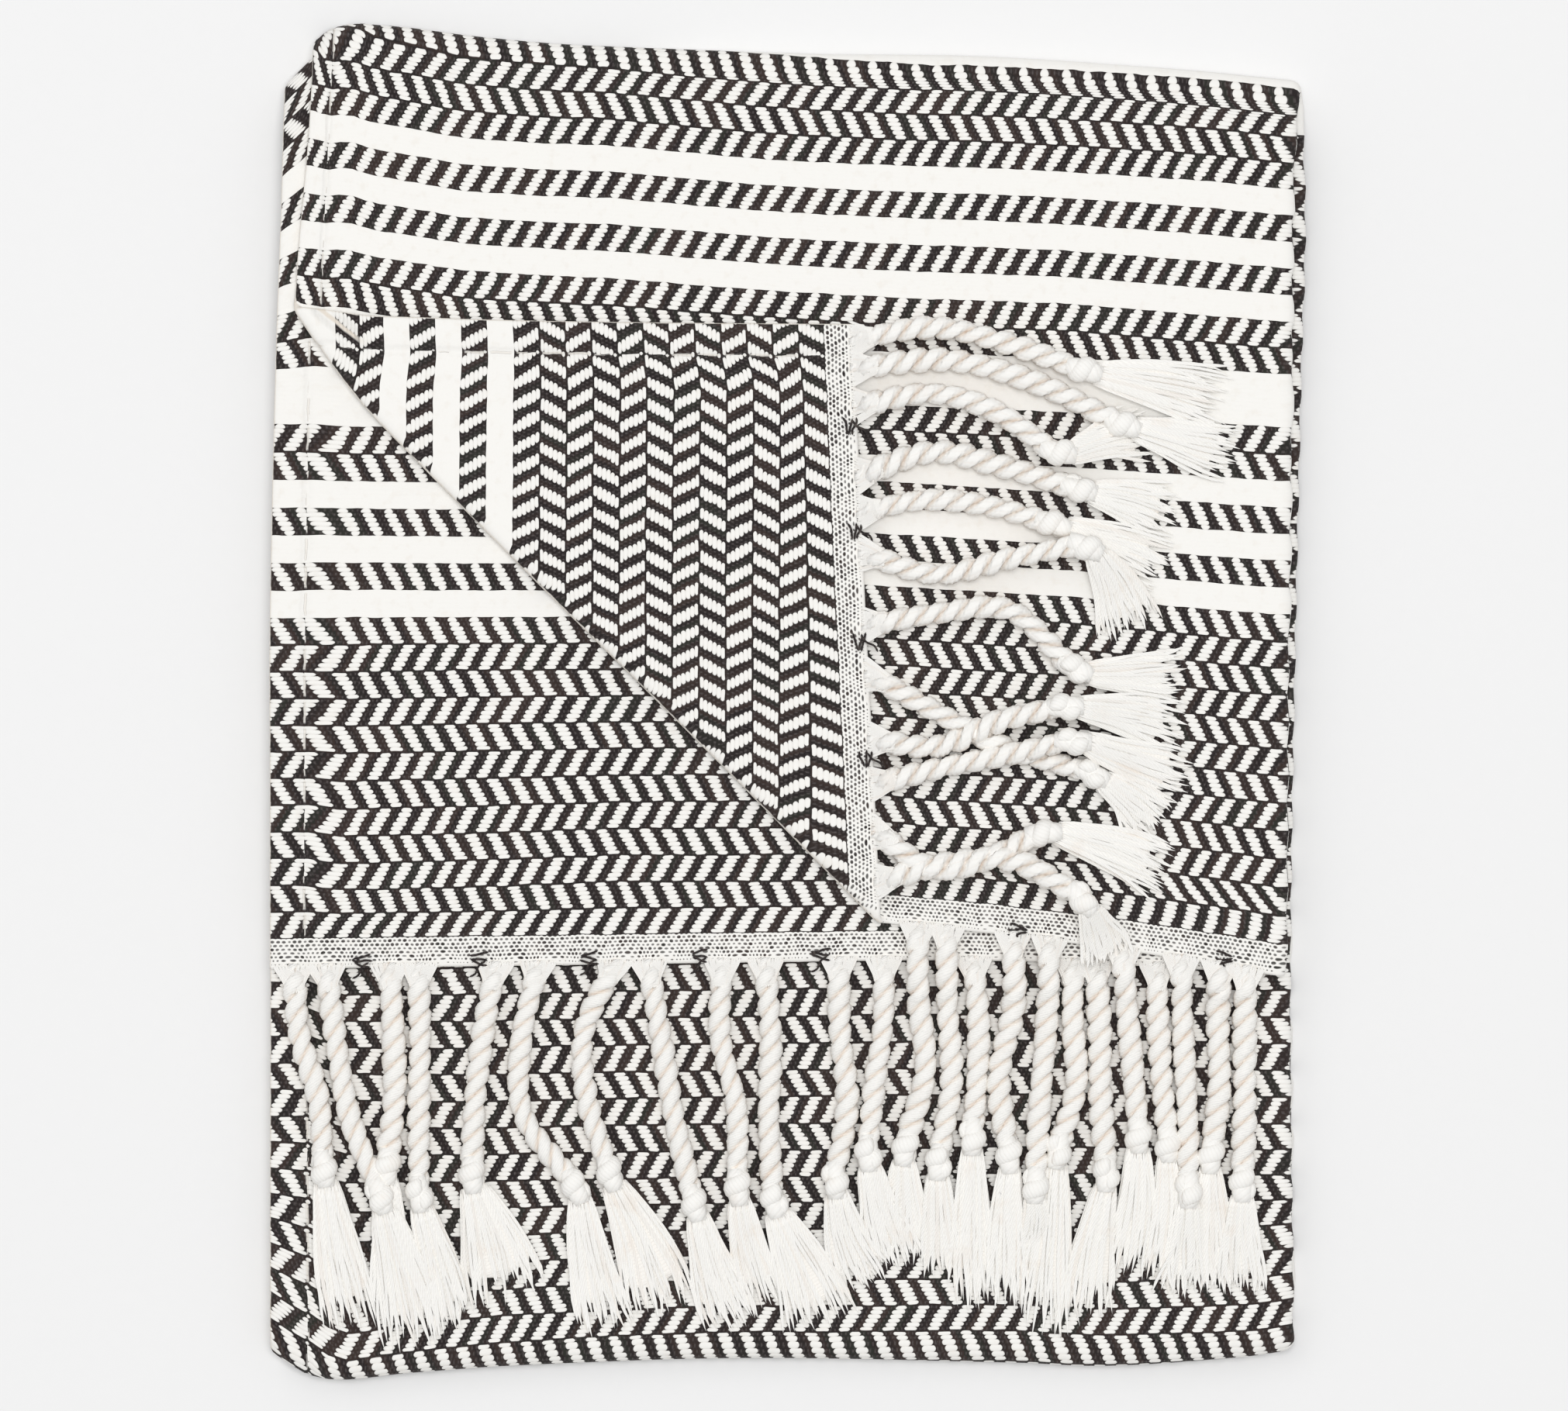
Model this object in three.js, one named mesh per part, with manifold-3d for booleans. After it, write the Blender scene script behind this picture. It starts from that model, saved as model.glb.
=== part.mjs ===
// A folded cotton hand towel with a twisted and knotted fringe, in millimetres, +Z up.
// The cloth is folded once along its length, with that fold on the right (+X), then in three
// across, front part on top. The near left corner of the top ply is turned back over it.
import * as THREE from "three";
import { mergeVertices } from "three/addons/utils/BufferGeometryUtils.js";
import Module from "manifold-3d";

const wasm = await Module();
wasm.setup();

// Table rows whose numbers go by the names of their columns
function named(columns, rows) {
  return rows.map((row) => Object.fromEntries(columns.map((name, i) => [name, row[i]])));
}

// Driving dimensions of the flat cloth
const UPPER_WIDTH = 225;
const UNDER_WIDTH = 221;
const LENGTH = 691.2;
const HEADING = 6.6;
const PARTING = 0.3;
const PLY = 1.4;
const STEP = 2.1;
const HEM = 7;
const HEM_EXTRA = 0.4;

// The turned-back corner: how far the fold line lies from the corner along the end and the hem
const CORNER_ON_END = 138;
const CORNER_ON_HEM = 130.7;

// Folds: where each begins, and how much its bulge is drawn out sideways
const TOP_FOLD_Y = 137;
const BOTTOM_FOLD_Y = -139;
const TOP_BULGE = 1.5;
const BOTTOM_BULGE = 1.2;
const SIDE_BULGE = 1.3;

// Near the top fold the upper layers come down past the far fringe to the floor
const SAG_FROM_Y = 126;
const SAG_TO_Y = 140;
const SAG = 2 * STEP;

// The fringe: strand, knot and tassel sizes
const STRAND_RADIUS = 2.3;
const KNOT_RADIUS = 3.3;
const KNOT_LENGTH = 7;
const TASSEL_HEIGHT = 3.2;
const REST_GAP = 0.5;
const ROOT_INSIDE = 1.5;
const ROOT_RADIUS = 0.55;
const RING_EVERY = 3.6;
const TURN_EVERY = 29;
const FAR_STRANDS_PER_PLY = 17;
const FAR_STRAND_LENGTH = 52;
const FAR_STRAND_WIDTH = 4;
const FAR_TASSEL_WIDTH = 8;
const FAR_STRAND_HEIGHT = 3.7;

// The middle of the folded pile in the tables below, which becomes the origin
const CENTRE_X = 0.5;
const CENTRE_Y = 1.7;

// Derived sizes
const TURN_RADIUS = STEP / 2;
const TURN_ARC = Math.PI * TURN_RADIUS;
const WIDTH = UPPER_WIDTH + TURN_ARC + UNDER_WIDTH;
const FOLD_RADIUS = STEP;
const FOLD_ARC = 8.3;
const MIDDLE_FROM = TOP_FOLD_Y + FOLD_ARC;
const MIDDLE_TO = MIDDLE_FROM + TOP_FOLD_Y - BOTTOM_FOLD_Y;
const LOWEST_FROM = MIDDLE_TO + FOLD_ARC;
const topOf = (level) => PLY + level * STEP;

// How the doubled cloth lies: at each distance v from the near end, where the open edge of the
// upper ply, the lengthwise fold and the open edge of the under ply are. A run is a distance
// along the doubled strip, which equals y on the front part. The upper ply's hem is drawn up by
// hemRise more, within HEM_DRAW of its edge.
const HEM_DRAW = 22;
const LAY = named(["v", "upperX", "upperRun", "hemRise", "foldX", "foldRun", "underX", "underRun"], [
  [0, -116, -36, 0, 107.9, -53.9, -113, -57],
  [77, -109.5, 35.2, 0, 108.4, 20.7, -113, 20.3],
  [135, -104.5, 90.4, 4.5, 109, 78.6, -111.6, 81],
  [171, -104, 121, 7.7, 109.2, 116.9, -110.3, 120],
  [200, -104, 149.5, 7.7, 111.4, 146.5, -110, 147],
  [226, -106, 175, 6, 112.2, 173, -110.5, 173],
  [260, -108.5, 209, 3, 111.3, 208, -111.5, 207],
  [340, -111.5, 290, 0, 109.6, 289.5, -112.8, 289],
  [400, -111.5, 350, 0, 108.9, 350, -113, 350],
  [478, -111.5, 428, 0, 109.6, 428, -113, 428],
  [560, -111, 510, 0, 109, 510, -112, 510],
  [LENGTH, -109, 641, 0, 108, 641, -110, 641],
]);

// How far the top and bottom edges lie beyond a straight line, from left to right
const TOP_EDGE = named(["x", "out"], [
  [-114, -7],
  [-109, -1.5],
  [-99, 7.3],
  [-88, 7.8],
  [-68, 5.4],
  [-48, 3.7],
  [3, 1.7],
  [44, 1],
  [85, -1.7],
  [111, -4.2],
]);
const BOTTOM_EDGE = named(["x", "out"], [
  [-114, -3],
  [-102, 3.6],
  [-82, 2.4],
  [-61, 0.9],
  [-10, -0.8],
  [50, 0.2],
  [71, 0.9],
  [101, -1.1],
  [112, -2.7],
]);

// Fringe strands. along is the root's distance from the ply's open edge, bowA and bowB are the
// sideways bows a third and two thirds of the way to the knot, lift is the height above the rest.
const STRAND_SIZES = ["along", "bowA", "bowB", "knotX", "knotY", "tipX", "tipY", "spread", "lift"];
const UNDER_STRANDS = named(STRAND_SIZES, [
  [4.9, -0.9, 1, -101.2, -99.5, -94.5, -135, 11, 0],
  [11.7, -1.7, -2.4, -89.1, -105.4, -80.2, -138.5, 12, 1],
  [25.2, 1, 1.4, -87.2, -99, -85, -131, 8, 0],
  [31.6, 0.3, 0, -80.2, -105, -73.5, -136, 9, 0],
  [48.6, -1, -1, -68.7, -100.8, -61.5, -129, 15, 0],
  [58, -6.3, -8.3, -46.6, -103.5, -39.4, -135.5, 10, 0],
  [75, -6.3, -5.1, -38.8, -100.5, -26.7, -131.8, 13, 0],
  [82.3, -0.3, -0.7, -20.2, -107.1, -11.5, -134.8, 10, 0],
  [98.6, -1.5, 1, -10.5, -103.5, -4, -130, 8, 1],
  [108.1, 0.7, -0.3, -2.7, -106.3, 9, -135.5, 13, 0],
  [124.4, 0.5, 2.4, 11, -102, 18, -125.8, 10, 0],
  [134.3, 1, 0.3, 18.2, -96, 24.5, -122, 9, 1],
  [154, 1.2, 1, 41.2, -92.5, 41.8, -130, 8, 0],
  [176, 1, 2.7, 60.2, -95.5, 57.5, -136.2, 9, 0],
  [181.2, 0, -0.5, 70.5, -100.5, 66.5, -131.8, 9, 0],
  [194.5, -0.5, -0.5, 84, -94, 83, -125, 8, 0],
]);
const UPPER_STRANDS = named(STRAND_SIZES, [
  [144, 1, 3.4, 26.5, -94.9, 27, -120, 9, 0],
  [150.5, 0.7, 2.2, 33.8, -98, 34.5, -124, 8, 0],
  [165.4, 0.5, -2.4, 49, -96.5, 49.3, -130, 8, 0],
  [173.6, 0.5, 0, 55, -103, 54, -122, 7, 1],
  [190, 0, 0, 77.5, -92, 75, -123.6, 9, 0],
  [203.3, 0, 0.3, 88.5, -104, 88, -128, 8, 1],
  [212, 0.3, 1.2, 93.5, -96.5, 93.5, -126.8, 8, 0],
  [218, 0, 0.3, 100.3, -102.7, 100.5, -127.8, 9, 0],
]);
const CORNER_STRANDS = named(STRAND_SIZES, [
  [3.6, 4.9, 3.6, 64.3, 74.6, 96.6, 67.2, 11, 0],
  [9.7, 5.8, 4.9, 72.8, 62.8, 98.3, 56, 10, 0],
  [18.2, 6.3, 5.8, 58.5, 56.5, 80, 61, 9, 3],
  [33.5, 6, 3.7, 63.1, 48.6, 85.3, 42.5, 10, 0],
  [41.7, 3.4, 2.9, 57.5, 41, 83, 30, 12, 0],
  [50.8, -5.3, -2.5, 64.5, 36, 75.5, 17, 11, 3],
  [67.2, 5.8, 9.4, 62.4, 9.5, 87, 7.5, 9, 0],
  [78.5, -1.5, -2.5, 66, -13.5, 81.3, -25.5, 8, 0],
  [93.5, -3.9, -0.9, 60, 0.5, 86.7, -4.5, 9, 3],
  [103.7, 0.3, 0, 61.7, -7, 88.4, -15, 9, 3],
  [114.8, -7.5, -5.8, 55.4, -27.2, 84, -36, 10, 0],
  [126, 4.9, 6.5, 64, -40.5, 70.5, -55, 9, 3],
]);

// Small sums
const mix = (from, to, share) => from + (to - from) * share;

// A smooth rise from 0 to 1 as a value goes from one bound to the other, either way
function ease(from, to, at) {
  const t = THREE.MathUtils.clamp((at - from) / (to - from), 0, 1);
  return t * t * (3 - 2 * t);
}

// A named column of a table, read smoothly at a value of its first column
function readTable(table, by, name, at) {
  const last = table.length - 1;
  const place = THREE.MathUtils.clamp(at, table[0][by], table[last][by]);
  let i = 0;
  while (i < last - 1 && place > table[i + 1][by]) i += 1;
  const slope = (k) => {
    const before = table[Math.max(k - 1, 0)];
    const after = table[Math.min(k + 1, last)];
    return (after[name] - before[name]) / (after[by] - before[by]);
  };
  const span = table[i + 1][by] - table[i][by];
  const t = (place - table[i][by]) / span;
  const rise = table[i + 1][name] - table[i][name];
  const a = slope(i) * span - rise;
  const b = rise - slope(i + 1) * span;
  return mix(table[i][name], table[i + 1][name], t) + t * (1 - t) * (a * (1 - t) + b * t);
}

// The corner fold: a point of the flat cloth past the fold line is rolled up and back over it
function turnCorner(u, v, lift) {
  const norm = Math.hypot(1 / CORNER_ON_END, 1 / CORNER_ON_HEM);
  const past = (1 - u / CORNER_ON_END - v / CORNER_ON_HEM) / norm;
  if (past <= 0) return { u, v, lift };
  const angle = Math.min(past / TURN_RADIUS, Math.PI);
  const bulge = SIDE_BULGE * (TURN_RADIUS - lift) * Math.sin(angle);
  const back = Math.max(past - TURN_ARC, 0);
  const shift = (past - bulge + back) / norm;
  return {
    u: u + shift / CORNER_ON_END,
    v: v + shift / CORNER_ON_HEM,
    lift: TURN_RADIUS - (TURN_RADIUS - lift) * Math.cos(angle),
  };
}

// The lengthwise fold: which ply a point is on, its share of the way to the fold, and its height
function foldSide(u, lift) {
  const past = u - UPPER_WIDTH;
  if (past <= 0) return { edge: "upper", share: u / UPPER_WIDTH, out: 0, lift: TURN_RADIUS + lift };
  const radius = TURN_RADIUS + lift;
  if (past >= TURN_ARC) {
    return { edge: "under", share: (WIDTH - u) / UNDER_WIDTH, out: 0, lift: -radius };
  }
  const angle = past / TURN_RADIUS;
  return {
    edge: "upper",
    share: 1,
    out: SIDE_BULGE * radius * Math.sin(angle),
    lift: radius * Math.cos(angle),
  };
}

// How far along the doubled strip a point of the flat cloth lies
function runOf(side, v) {
  const edgeRun = readTable(LAY, "v", side.edge + "Run", v);
  const foldRun = readTable(LAY, "v", "foldRun", v);
  const nearHem = side.edge === "upper" ? Math.max(1 - (side.share * UPPER_WIDTH) / HEM_DRAW, 0) : 0;
  return mix(edgeRun, foldRun, side.share) + readTable(LAY, "v", "hemRise", v) * nearHem ** 2;
}

// The two folds across, which lay the strip in three parts
function foldAcross(run, lift) {
  const front = PLY / 2 + 4.5 * STEP;
  const middle = front - 2 * FOLD_RADIUS;
  const lowest = middle - 2 * FOLD_RADIUS;
  if (run < TOP_FOLD_Y) return { y: run, z: front + lift, sags: true };
  if (run < MIDDLE_FROM) {
    const angle = (Math.PI * (run - TOP_FOLD_Y)) / FOLD_ARC;
    const radius = FOLD_RADIUS + lift;
    return {
      y: TOP_FOLD_Y + TOP_BULGE * radius * Math.sin(angle),
      z: middle + FOLD_RADIUS + radius * Math.cos(angle),
      sags: true,
    };
  }
  if (run < MIDDLE_TO) return { y: TOP_FOLD_Y - (run - MIDDLE_FROM), z: middle - lift, sags: true };
  if (run < LOWEST_FROM) {
    const angle = (Math.PI * (run - MIDDLE_TO)) / FOLD_ARC;
    const radius = FOLD_RADIUS - lift;
    return {
      y: BOTTOM_FOLD_Y - BOTTOM_BULGE * radius * Math.sin(angle),
      z: lowest + FOLD_RADIUS + radius * Math.cos(angle),
      sags: false,
    };
  }
  return { y: BOTTOM_FOLD_Y + (run - LOWEST_FROM), z: lowest + lift, sags: false };
}

// The gentle rise and fall of the whole pile
function swell(x, y, z) {
  return Math.max(z * (1 + 0.05 * Math.sin(x / 31 + 1) * Math.cos(y / 47)), 0);
}

// The crooked top and bottom edges, on a pile whose box is centred on the origin
function unevenness(x, y, z) {
  const top = readTable(TOP_EDGE, "x", "out", x) * ease(60, TOP_FOLD_Y, y);
  const bottom = readTable(BOTTOM_EDGE, "x", "out", x) * ease(-90, -140, y);
  return new THREE.Vector3(x - CENTRE_X, y + top - bottom - CENTRE_Y, swell(x, y, z));
}

// Where a point of the flat cloth, at a height above its middle, lies in the folded towel
function place(u, v, lift) {
  const corner = turnCorner(u, v, lift);
  const side = foldSide(corner.u, corner.lift);
  const edgeX = readTable(LAY, "v", side.edge + "X", corner.v);
  const x = mix(edgeX, readTable(LAY, "v", "foldX", corner.v), side.share) + side.out;
  const across = foldAcross(runOf(side, corner.v), side.lift);
  const sag = across.sags ? SAG * ease(SAG_FROM_Y, SAG_TO_Y, across.y) : 0;
  return unevenness(x, across.y, across.z - sag);
}

// The distance from the near end at which a thread across the cloth reaches a given run
function distanceAtRun(u, run) {
  const side = foldSide(u, 0);
  let low = 0;
  let high = LENGTH;
  for (let halving = 0; halving < 30; halving += 1) {
    const middle = (low + high) / 2;
    if (runOf(side, middle) < run) low = middle;
    else high = middle;
  }
  return (low + high) / 2;
}

// Evenly spaced values from one bound to another, both included
function steps(from, to, count) {
  return Array.from({ length: count + 1 }, (_, i) => mix(from, to, i / count));
}

// Where the mesh lines cross one row of the flat cloth: closer at hems and folds
function columnsAt(v) {
  const line = Math.max(CORNER_ON_END * (1 - v / CORNER_ON_HEM), 0);
  const slant = Math.hypot(CORNER_ON_END, CORNER_ON_HEM) / CORNER_ON_HEM;
  const rollStart = Math.max(line - TURN_ARC * slant, 0);
  const hemLine = Math.min(HEM, rollStart);
  const roll = steps(0, 4, 4).map((k) => Math.max(line - (TURN_ARC * slant * (4 - k)) / 4, 0));
  return [
    0,
    hemLine,
    Math.min(HEM + 1, rollStart),
    mix(hemLine, rollStart, 0.5),
    ...roll,
    line + HEM,
    line + HEM + 1,
    line + 2 * HEM_DRAW / 3,
    ...steps(line + HEM_DRAW, UPPER_WIDTH, 7),
    ...steps(UPPER_WIDTH, UPPER_WIDTH + TURN_ARC, 5).slice(1),
    ...steps(UPPER_WIDTH + TURN_ARC, WIDTH - HEM_DRAW, 7).slice(1),
    WIDTH - 2 * HEM_DRAW / 3,
    WIDTH - HEM - 1,
    WIDTH - HEM,
    WIDTH,
  ];
}

const rowAtDistance = (v) => columnsAt(v).map((u) => ({ u, v }));

function rowAtRun(run) {
  return columnsAt(LENGTH).map((u) => ({ u, v: distanceAtRun(u, run) }));
}

const hemmed = ({ u }) => PLY / 2 + (u <= HEM || u >= WIDTH - HEM ? HEM_EXTRA / 2 : 0);
const plain = () => PLY / 2;

// Triangles of a sheet whose rows have like numbers of points, without the collapsed ones
function sheetOfRows(rows) {
  const points = [];
  const known = new Map();
  const indexOf = (point) => {
    const key = point.u.toFixed(3) + " " + point.v.toFixed(3);
    if (!known.has(key)) {
      known.set(key, points.length);
      points.push(point);
    }
    return known.get(key);
  };
  const triangles = [];
  const addTriangle = (a, b, c) => {
    if (a !== b && b !== c && c !== a) triangles.push([a, b, c]);
  };
  for (let i = 0; i + 1 < rows.length; i += 1) {
    for (let j = 0; j + 1 < rows[i].length; j += 1) {
      const near = [indexOf(rows[i][j]), indexOf(rows[i][j + 1])];
      const far = [indexOf(rows[i + 1][j]), indexOf(rows[i + 1][j + 1])];
      addTriangle(near[0], near[1], far[1]);
      addTriangle(near[0], far[1], far[0]);
    }
  }
  return { points, triangles };
}

// A closed solid of a sheet: both faces and a rim along its outer edges
function thicken({ points, triangles }, halfThickness) {
  const positions = [];
  for (const sign of [1, -1]) {
    for (const point of points) {
      positions.push(...place(point.u, point.v, sign * halfThickness(point)).toArray());
    }
  }
  const below = points.length;
  const index = [];
  const open = new Set();
  for (const [a, b, c] of triangles) {
    index.push(a, b, c, below + a, below + c, below + b);
    for (const [from, to] of [[a, b], [b, c], [c, a]]) {
      if (!open.delete(to + " " + from)) open.add(from + " " + to);
    }
  }
  for (const edge of open) {
    const [from, to] = edge.split(" ").map(Number);
    index.push(from, below + from, below + to, from, below + to, to);
  }
  const geometry = new THREE.BufferGeometry();
  geometry.setAttribute("position", new THREE.Float32BufferAttribute(positions, 3));
  geometry.setIndex(index);
  return geometry;
}

// Joining closed meshes
function solidOf(geometry) {
  const bare = new THREE.BufferGeometry();
  bare.setAttribute("position", geometry.getAttribute("position"));
  bare.setIndex(geometry.index);
  const merged = mergeVertices(bare, 1e-4);
  return new wasm.Manifold(
    new wasm.Mesh({
      numProp: 3,
      vertProperties: Float32Array.from(merged.attributes.position.array),
      triVerts: Uint32Array.from(merged.index.array),
    }),
  );
}

function geometryOf(solid) {
  const mesh = solid.getMesh();
  const geometry = new THREE.BufferGeometry();
  geometry.setAttribute("position", new THREE.BufferAttribute(mesh.vertProperties, 3));
  geometry.setIndex(new THREE.BufferAttribute(mesh.triVerts, 1));
  return geometry;
}

// The union of closed meshes, with any pocket shut in between touching strands filled
function join(geometries) {
  const whole = geometries.map(solidOf).reduce((all, next) => all.add(next));
  const bodies = whole.decompose().filter((body) => body.volume() > 0);
  return geometryOf(bodies.reduce((all, next) => all.add(next)));
}

// A closed tube of four-sided rings, each with a centre, two half sizes and a turn
function fourSidedTube(rings) {
  const positions = [];
  const up = new THREE.Vector3(0, 0, 1);
  rings.forEach((ring, i) => {
    const before = rings[Math.max(i - 1, 0)].centre;
    const after = rings[Math.min(i + 1, rings.length - 1)].centre;
    const ahead = after.clone().sub(before).setZ(0).normalize();
    const side = ahead.clone().cross(up);
    for (let corner = 0; corner < 4; corner += 1) {
      const angle = ring.turn + (corner * Math.PI) / 2;
      const point = ring.centre.clone().addScaledVector(side, ring.halfWidth * Math.cos(angle));
      point.addScaledVector(up, ring.halfHeight * Math.sin(angle));
      positions.push(...point.toArray());
    }
  });
  const index = [0, 1, 2, 0, 2, 3];
  for (let i = 0; i + 1 < rings.length; i += 1) {
    for (let corner = 0; corner < 4; corner += 1) {
      const next = (corner + 1) % 4;
      const [a, b, c, d] = [4 * i + corner, 4 * i + next, 4 * i + 4 + corner, 4 * i + 4 + next];
      index.push(a, d, b, a, c, d);
    }
  }
  const end = 4 * (rings.length - 1);
  index.push(end, end + 2, end + 1, end, end + 3, end + 2);
  const geometry = new THREE.BufferGeometry();
  geometry.setAttribute("position", new THREE.Float32BufferAttribute(positions, 3));
  geometry.setIndex(index);
  return geometry;
}

// The height of what a strand rests on, at a place on its way
const restOf = {
  corner: () => topOf(5),
  upper: (y) => mix(topOf(4), topOf(3), ease(-59, -66, y)),
  under: () => topOf(3),
};

// One strand of the near fringe: twisted cord, knot and open tassel
function nearStrand(strand, kind) {
  const u = kind === "under" ? WIDTH - strand.along : strand.along;
  const root = place(u, ROOT_INSIDE, 0);
  const edge = place(u, 0, 0);
  const knot = new THREE.Vector3(strand.knotX - CENTRE_X, strand.knotY - CENTRE_Y, 0);
  const tip = new THREE.Vector3(strand.tipX - CENTRE_X, strand.tipY - CENTRE_Y, 0);
  const way = knot.clone().sub(edge).setZ(0);
  const left = new THREE.Vector3(-way.y, way.x, 0).normalize();
  const bowed = (share, bow) => edge.clone().lerp(knot, share).addScaledVector(left, bow);
  const bends = [bowed(1 / 3, strand.bowA), bowed(2 / 3, strand.bowB)];
  const cord = new THREE.CatmullRomCurve3([edge, ...bends, knot]);
  const ringAt = (spot, halfWidth, halfHeight, turn, lift) => {
    const rest = restOf[kind](spot.y) + REST_GAP + halfHeight + lift;
    const centre = new THREE.Vector3(spot.x, spot.y, swell(spot.x, spot.y, rest));
    return { centre, halfWidth, halfHeight, turn };
  };
  const rings = [{ centre: root, halfWidth: ROOT_RADIUS, halfHeight: ROOT_RADIUS, turn: Math.PI / 4 }];
  const length = cord.getLength();
  const straight = length - KNOT_LENGTH / 2;
  const count = Math.round((straight - 2.5) / RING_EVERY);
  for (const distance of steps(2.5, straight, count)) {
    const spot = cord.getPointAt(distance / length);
    const lift = strand.lift * ease(0.3, 1, distance / length);
    const turn = Math.PI / 4 + (2 * Math.PI * distance) / TURN_EVERY;
    rings.push(ringAt(spot, STRAND_RADIUS, STRAND_RADIUS, turn, lift));
  }
  const outward = tip.clone().sub(knot).setZ(0).normalize();
  const lastTurn = rings.at(-1).turn;
  const before = cord.getPointAt(1 - (0.2 * KNOT_LENGTH) / length);
  const after = (share) => knot.clone().addScaledVector(outward, share * KNOT_LENGTH);
  rings.push(ringAt(before, KNOT_RADIUS, KNOT_RADIUS, lastTurn, strand.lift));
  rings.push(ringAt(after(0.3), KNOT_RADIUS, KNOT_RADIUS, lastTurn, strand.lift));
  const flat = Math.round(lastTurn / (Math.PI / 2)) * (Math.PI / 2) + Math.PI / 4;
  const tasselLift = strand.lift + STRAND_RADIUS - TASSEL_HEIGHT / 2;
  rings.push(ringAt(after(0.6), STRAND_RADIUS, STRAND_RADIUS, flat, strand.lift));
  for (const share of [0.3, 0.65, 1]) {
    const spot = knot.clone().lerp(tip, mix(0.15, 1, share));
    const halfWidth = mix(STRAND_RADIUS, strand.spread / 2, share) * Math.SQRT2;
    const halfHeight = (TASSEL_HEIGHT / 2) * Math.SQRT2 * mix(1, 0.6, share);
    rings.push(ringAt(spot, halfWidth, halfHeight, flat, tasselLift * (1 - share)));
  }
  return fourSidedTube(rings);
}

// The near heading band, folded with the cloth, with the strands growing from it
function nearFringe() {
  const heading = thicken(sheetOfRows([0, HEADING - PARTING].map(rowAtDistance)), plain);
  return join([
    heading,
    ...UNDER_STRANDS.map((strand) => nearStrand(strand, "under")),
    ...UPPER_STRANDS.map((strand) => nearStrand(strand, "upper")),
    ...CORNER_STRANDS.map((strand) => nearStrand(strand, "corner")),
  ]);
}

// One plain strand of the far fringe, level on the floor
function farStrand(u) {
  const root = place(u, LENGTH - ROOT_INSIDE, 0);
  const edge = place(u, LENGTH, 0);
  const half = FAR_STRAND_HEIGHT / 2;
  const ringAt = (distance, width) => ({
    centre: new THREE.Vector3(edge.x, edge.y + distance, half),
    halfWidth: (width / 2) * Math.SQRT2,
    halfHeight: half * Math.SQRT2,
    turn: Math.PI / 4,
  });
  return fourSidedTube([
    { centre: root, halfWidth: ROOT_RADIUS, halfHeight: ROOT_RADIUS, turn: Math.PI / 4 },
    ringAt(2.5, FAR_STRAND_WIDTH),
    ringAt(FAR_STRAND_LENGTH * 0.6, FAR_STRAND_WIDTH),
    ringAt(FAR_STRAND_LENGTH, FAR_TASSEL_WIDTH),
  ]);
}

// The far heading band under the middle part, with its two rows of strands side by side
function farFringe() {
  const rows = [LENGTH - HEADING + PARTING, LENGTH].map(rowAtDistance);
  const heading = thicken(sheetOfRows(rows), plain);
  const spacing = UNDER_WIDTH / (FAR_STRANDS_PER_PLY + 0.5);
  const strands = [];
  for (let k = 0; k < FAR_STRANDS_PER_PLY; k += 1) {
    strands.push(farStrand((k + 0.5) * spacing));
    strands.push(farStrand(WIDTH - (k + 1) * spacing));
  }
  return join([heading, ...strands]);
}

// The woven cloth between the headings, one sheet through all its folds
function cloth() {
  const rollRows = steps(0, 4, 4).map((k) => {
    const slant = Math.hypot(CORNER_ON_END, CORNER_ON_HEM) / CORNER_ON_END;
    return CORNER_ON_HEM - (TURN_ARC * slant * (4 - k)) / 4;
  });
  const frontRows = [...steps(HEADING, 112, 7), ...rollRows].map(rowAtDistance);
  const nearTop = [98, 112, 122, ...steps(SAG_FROM_Y, TOP_FOLD_Y, 4)];
  const topFold = steps(TOP_FOLD_Y, MIDDLE_FROM, 6).slice(1);
  const sagEnd = MIDDLE_FROM + TOP_FOLD_Y - SAG_FROM_Y;
  const middle = [...steps(MIDDLE_FROM, sagEnd, 4).slice(1), ...steps(sagEnd, MIDDLE_TO, 9).slice(1)];
  const bottomFold = steps(MIDDLE_TO, LOWEST_FROM, 6).slice(1);
  const lowest = steps(LOWEST_FROM, 625, 6).slice(1);
  const foldedRows = [...nearTop, ...topFold, ...middle, ...bottomFold, ...lowest].map(rowAtRun);
  const lastRow = rowAtDistance(LENGTH - HEADING);
  return thicken(sheetOfRows([...frontRows, ...foldedRows, lastRow]), hemmed);
}

// The finished towel
const clothMaterial = new THREE.MeshStandardMaterial({ color: 0x9a9693, roughness: 0.95, metalness: 0 });
const fringeMaterial = new THREE.MeshStandardMaterial({ color: 0xf8f4ec, roughness: 0.95, metalness: 0 });

function piece(name, geometry, material) {
  const mesh = new THREE.Mesh(geometry, material);
  mesh.name = name;
  return mesh;
}

const towel = new THREE.Group();
towel.add(piece("cloth", cloth(), clothMaterial));
towel.add(piece("fringe_near", nearFringe(), fringeMaterial));
towel.add(piece("fringe_far", farFringe(), fringeMaterial.clone()));

export default towel;
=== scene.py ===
"""A folded cotton hand towel: herringbone cloth, twisted and knotted fringe, on a pale table."""

import math
import random

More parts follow.
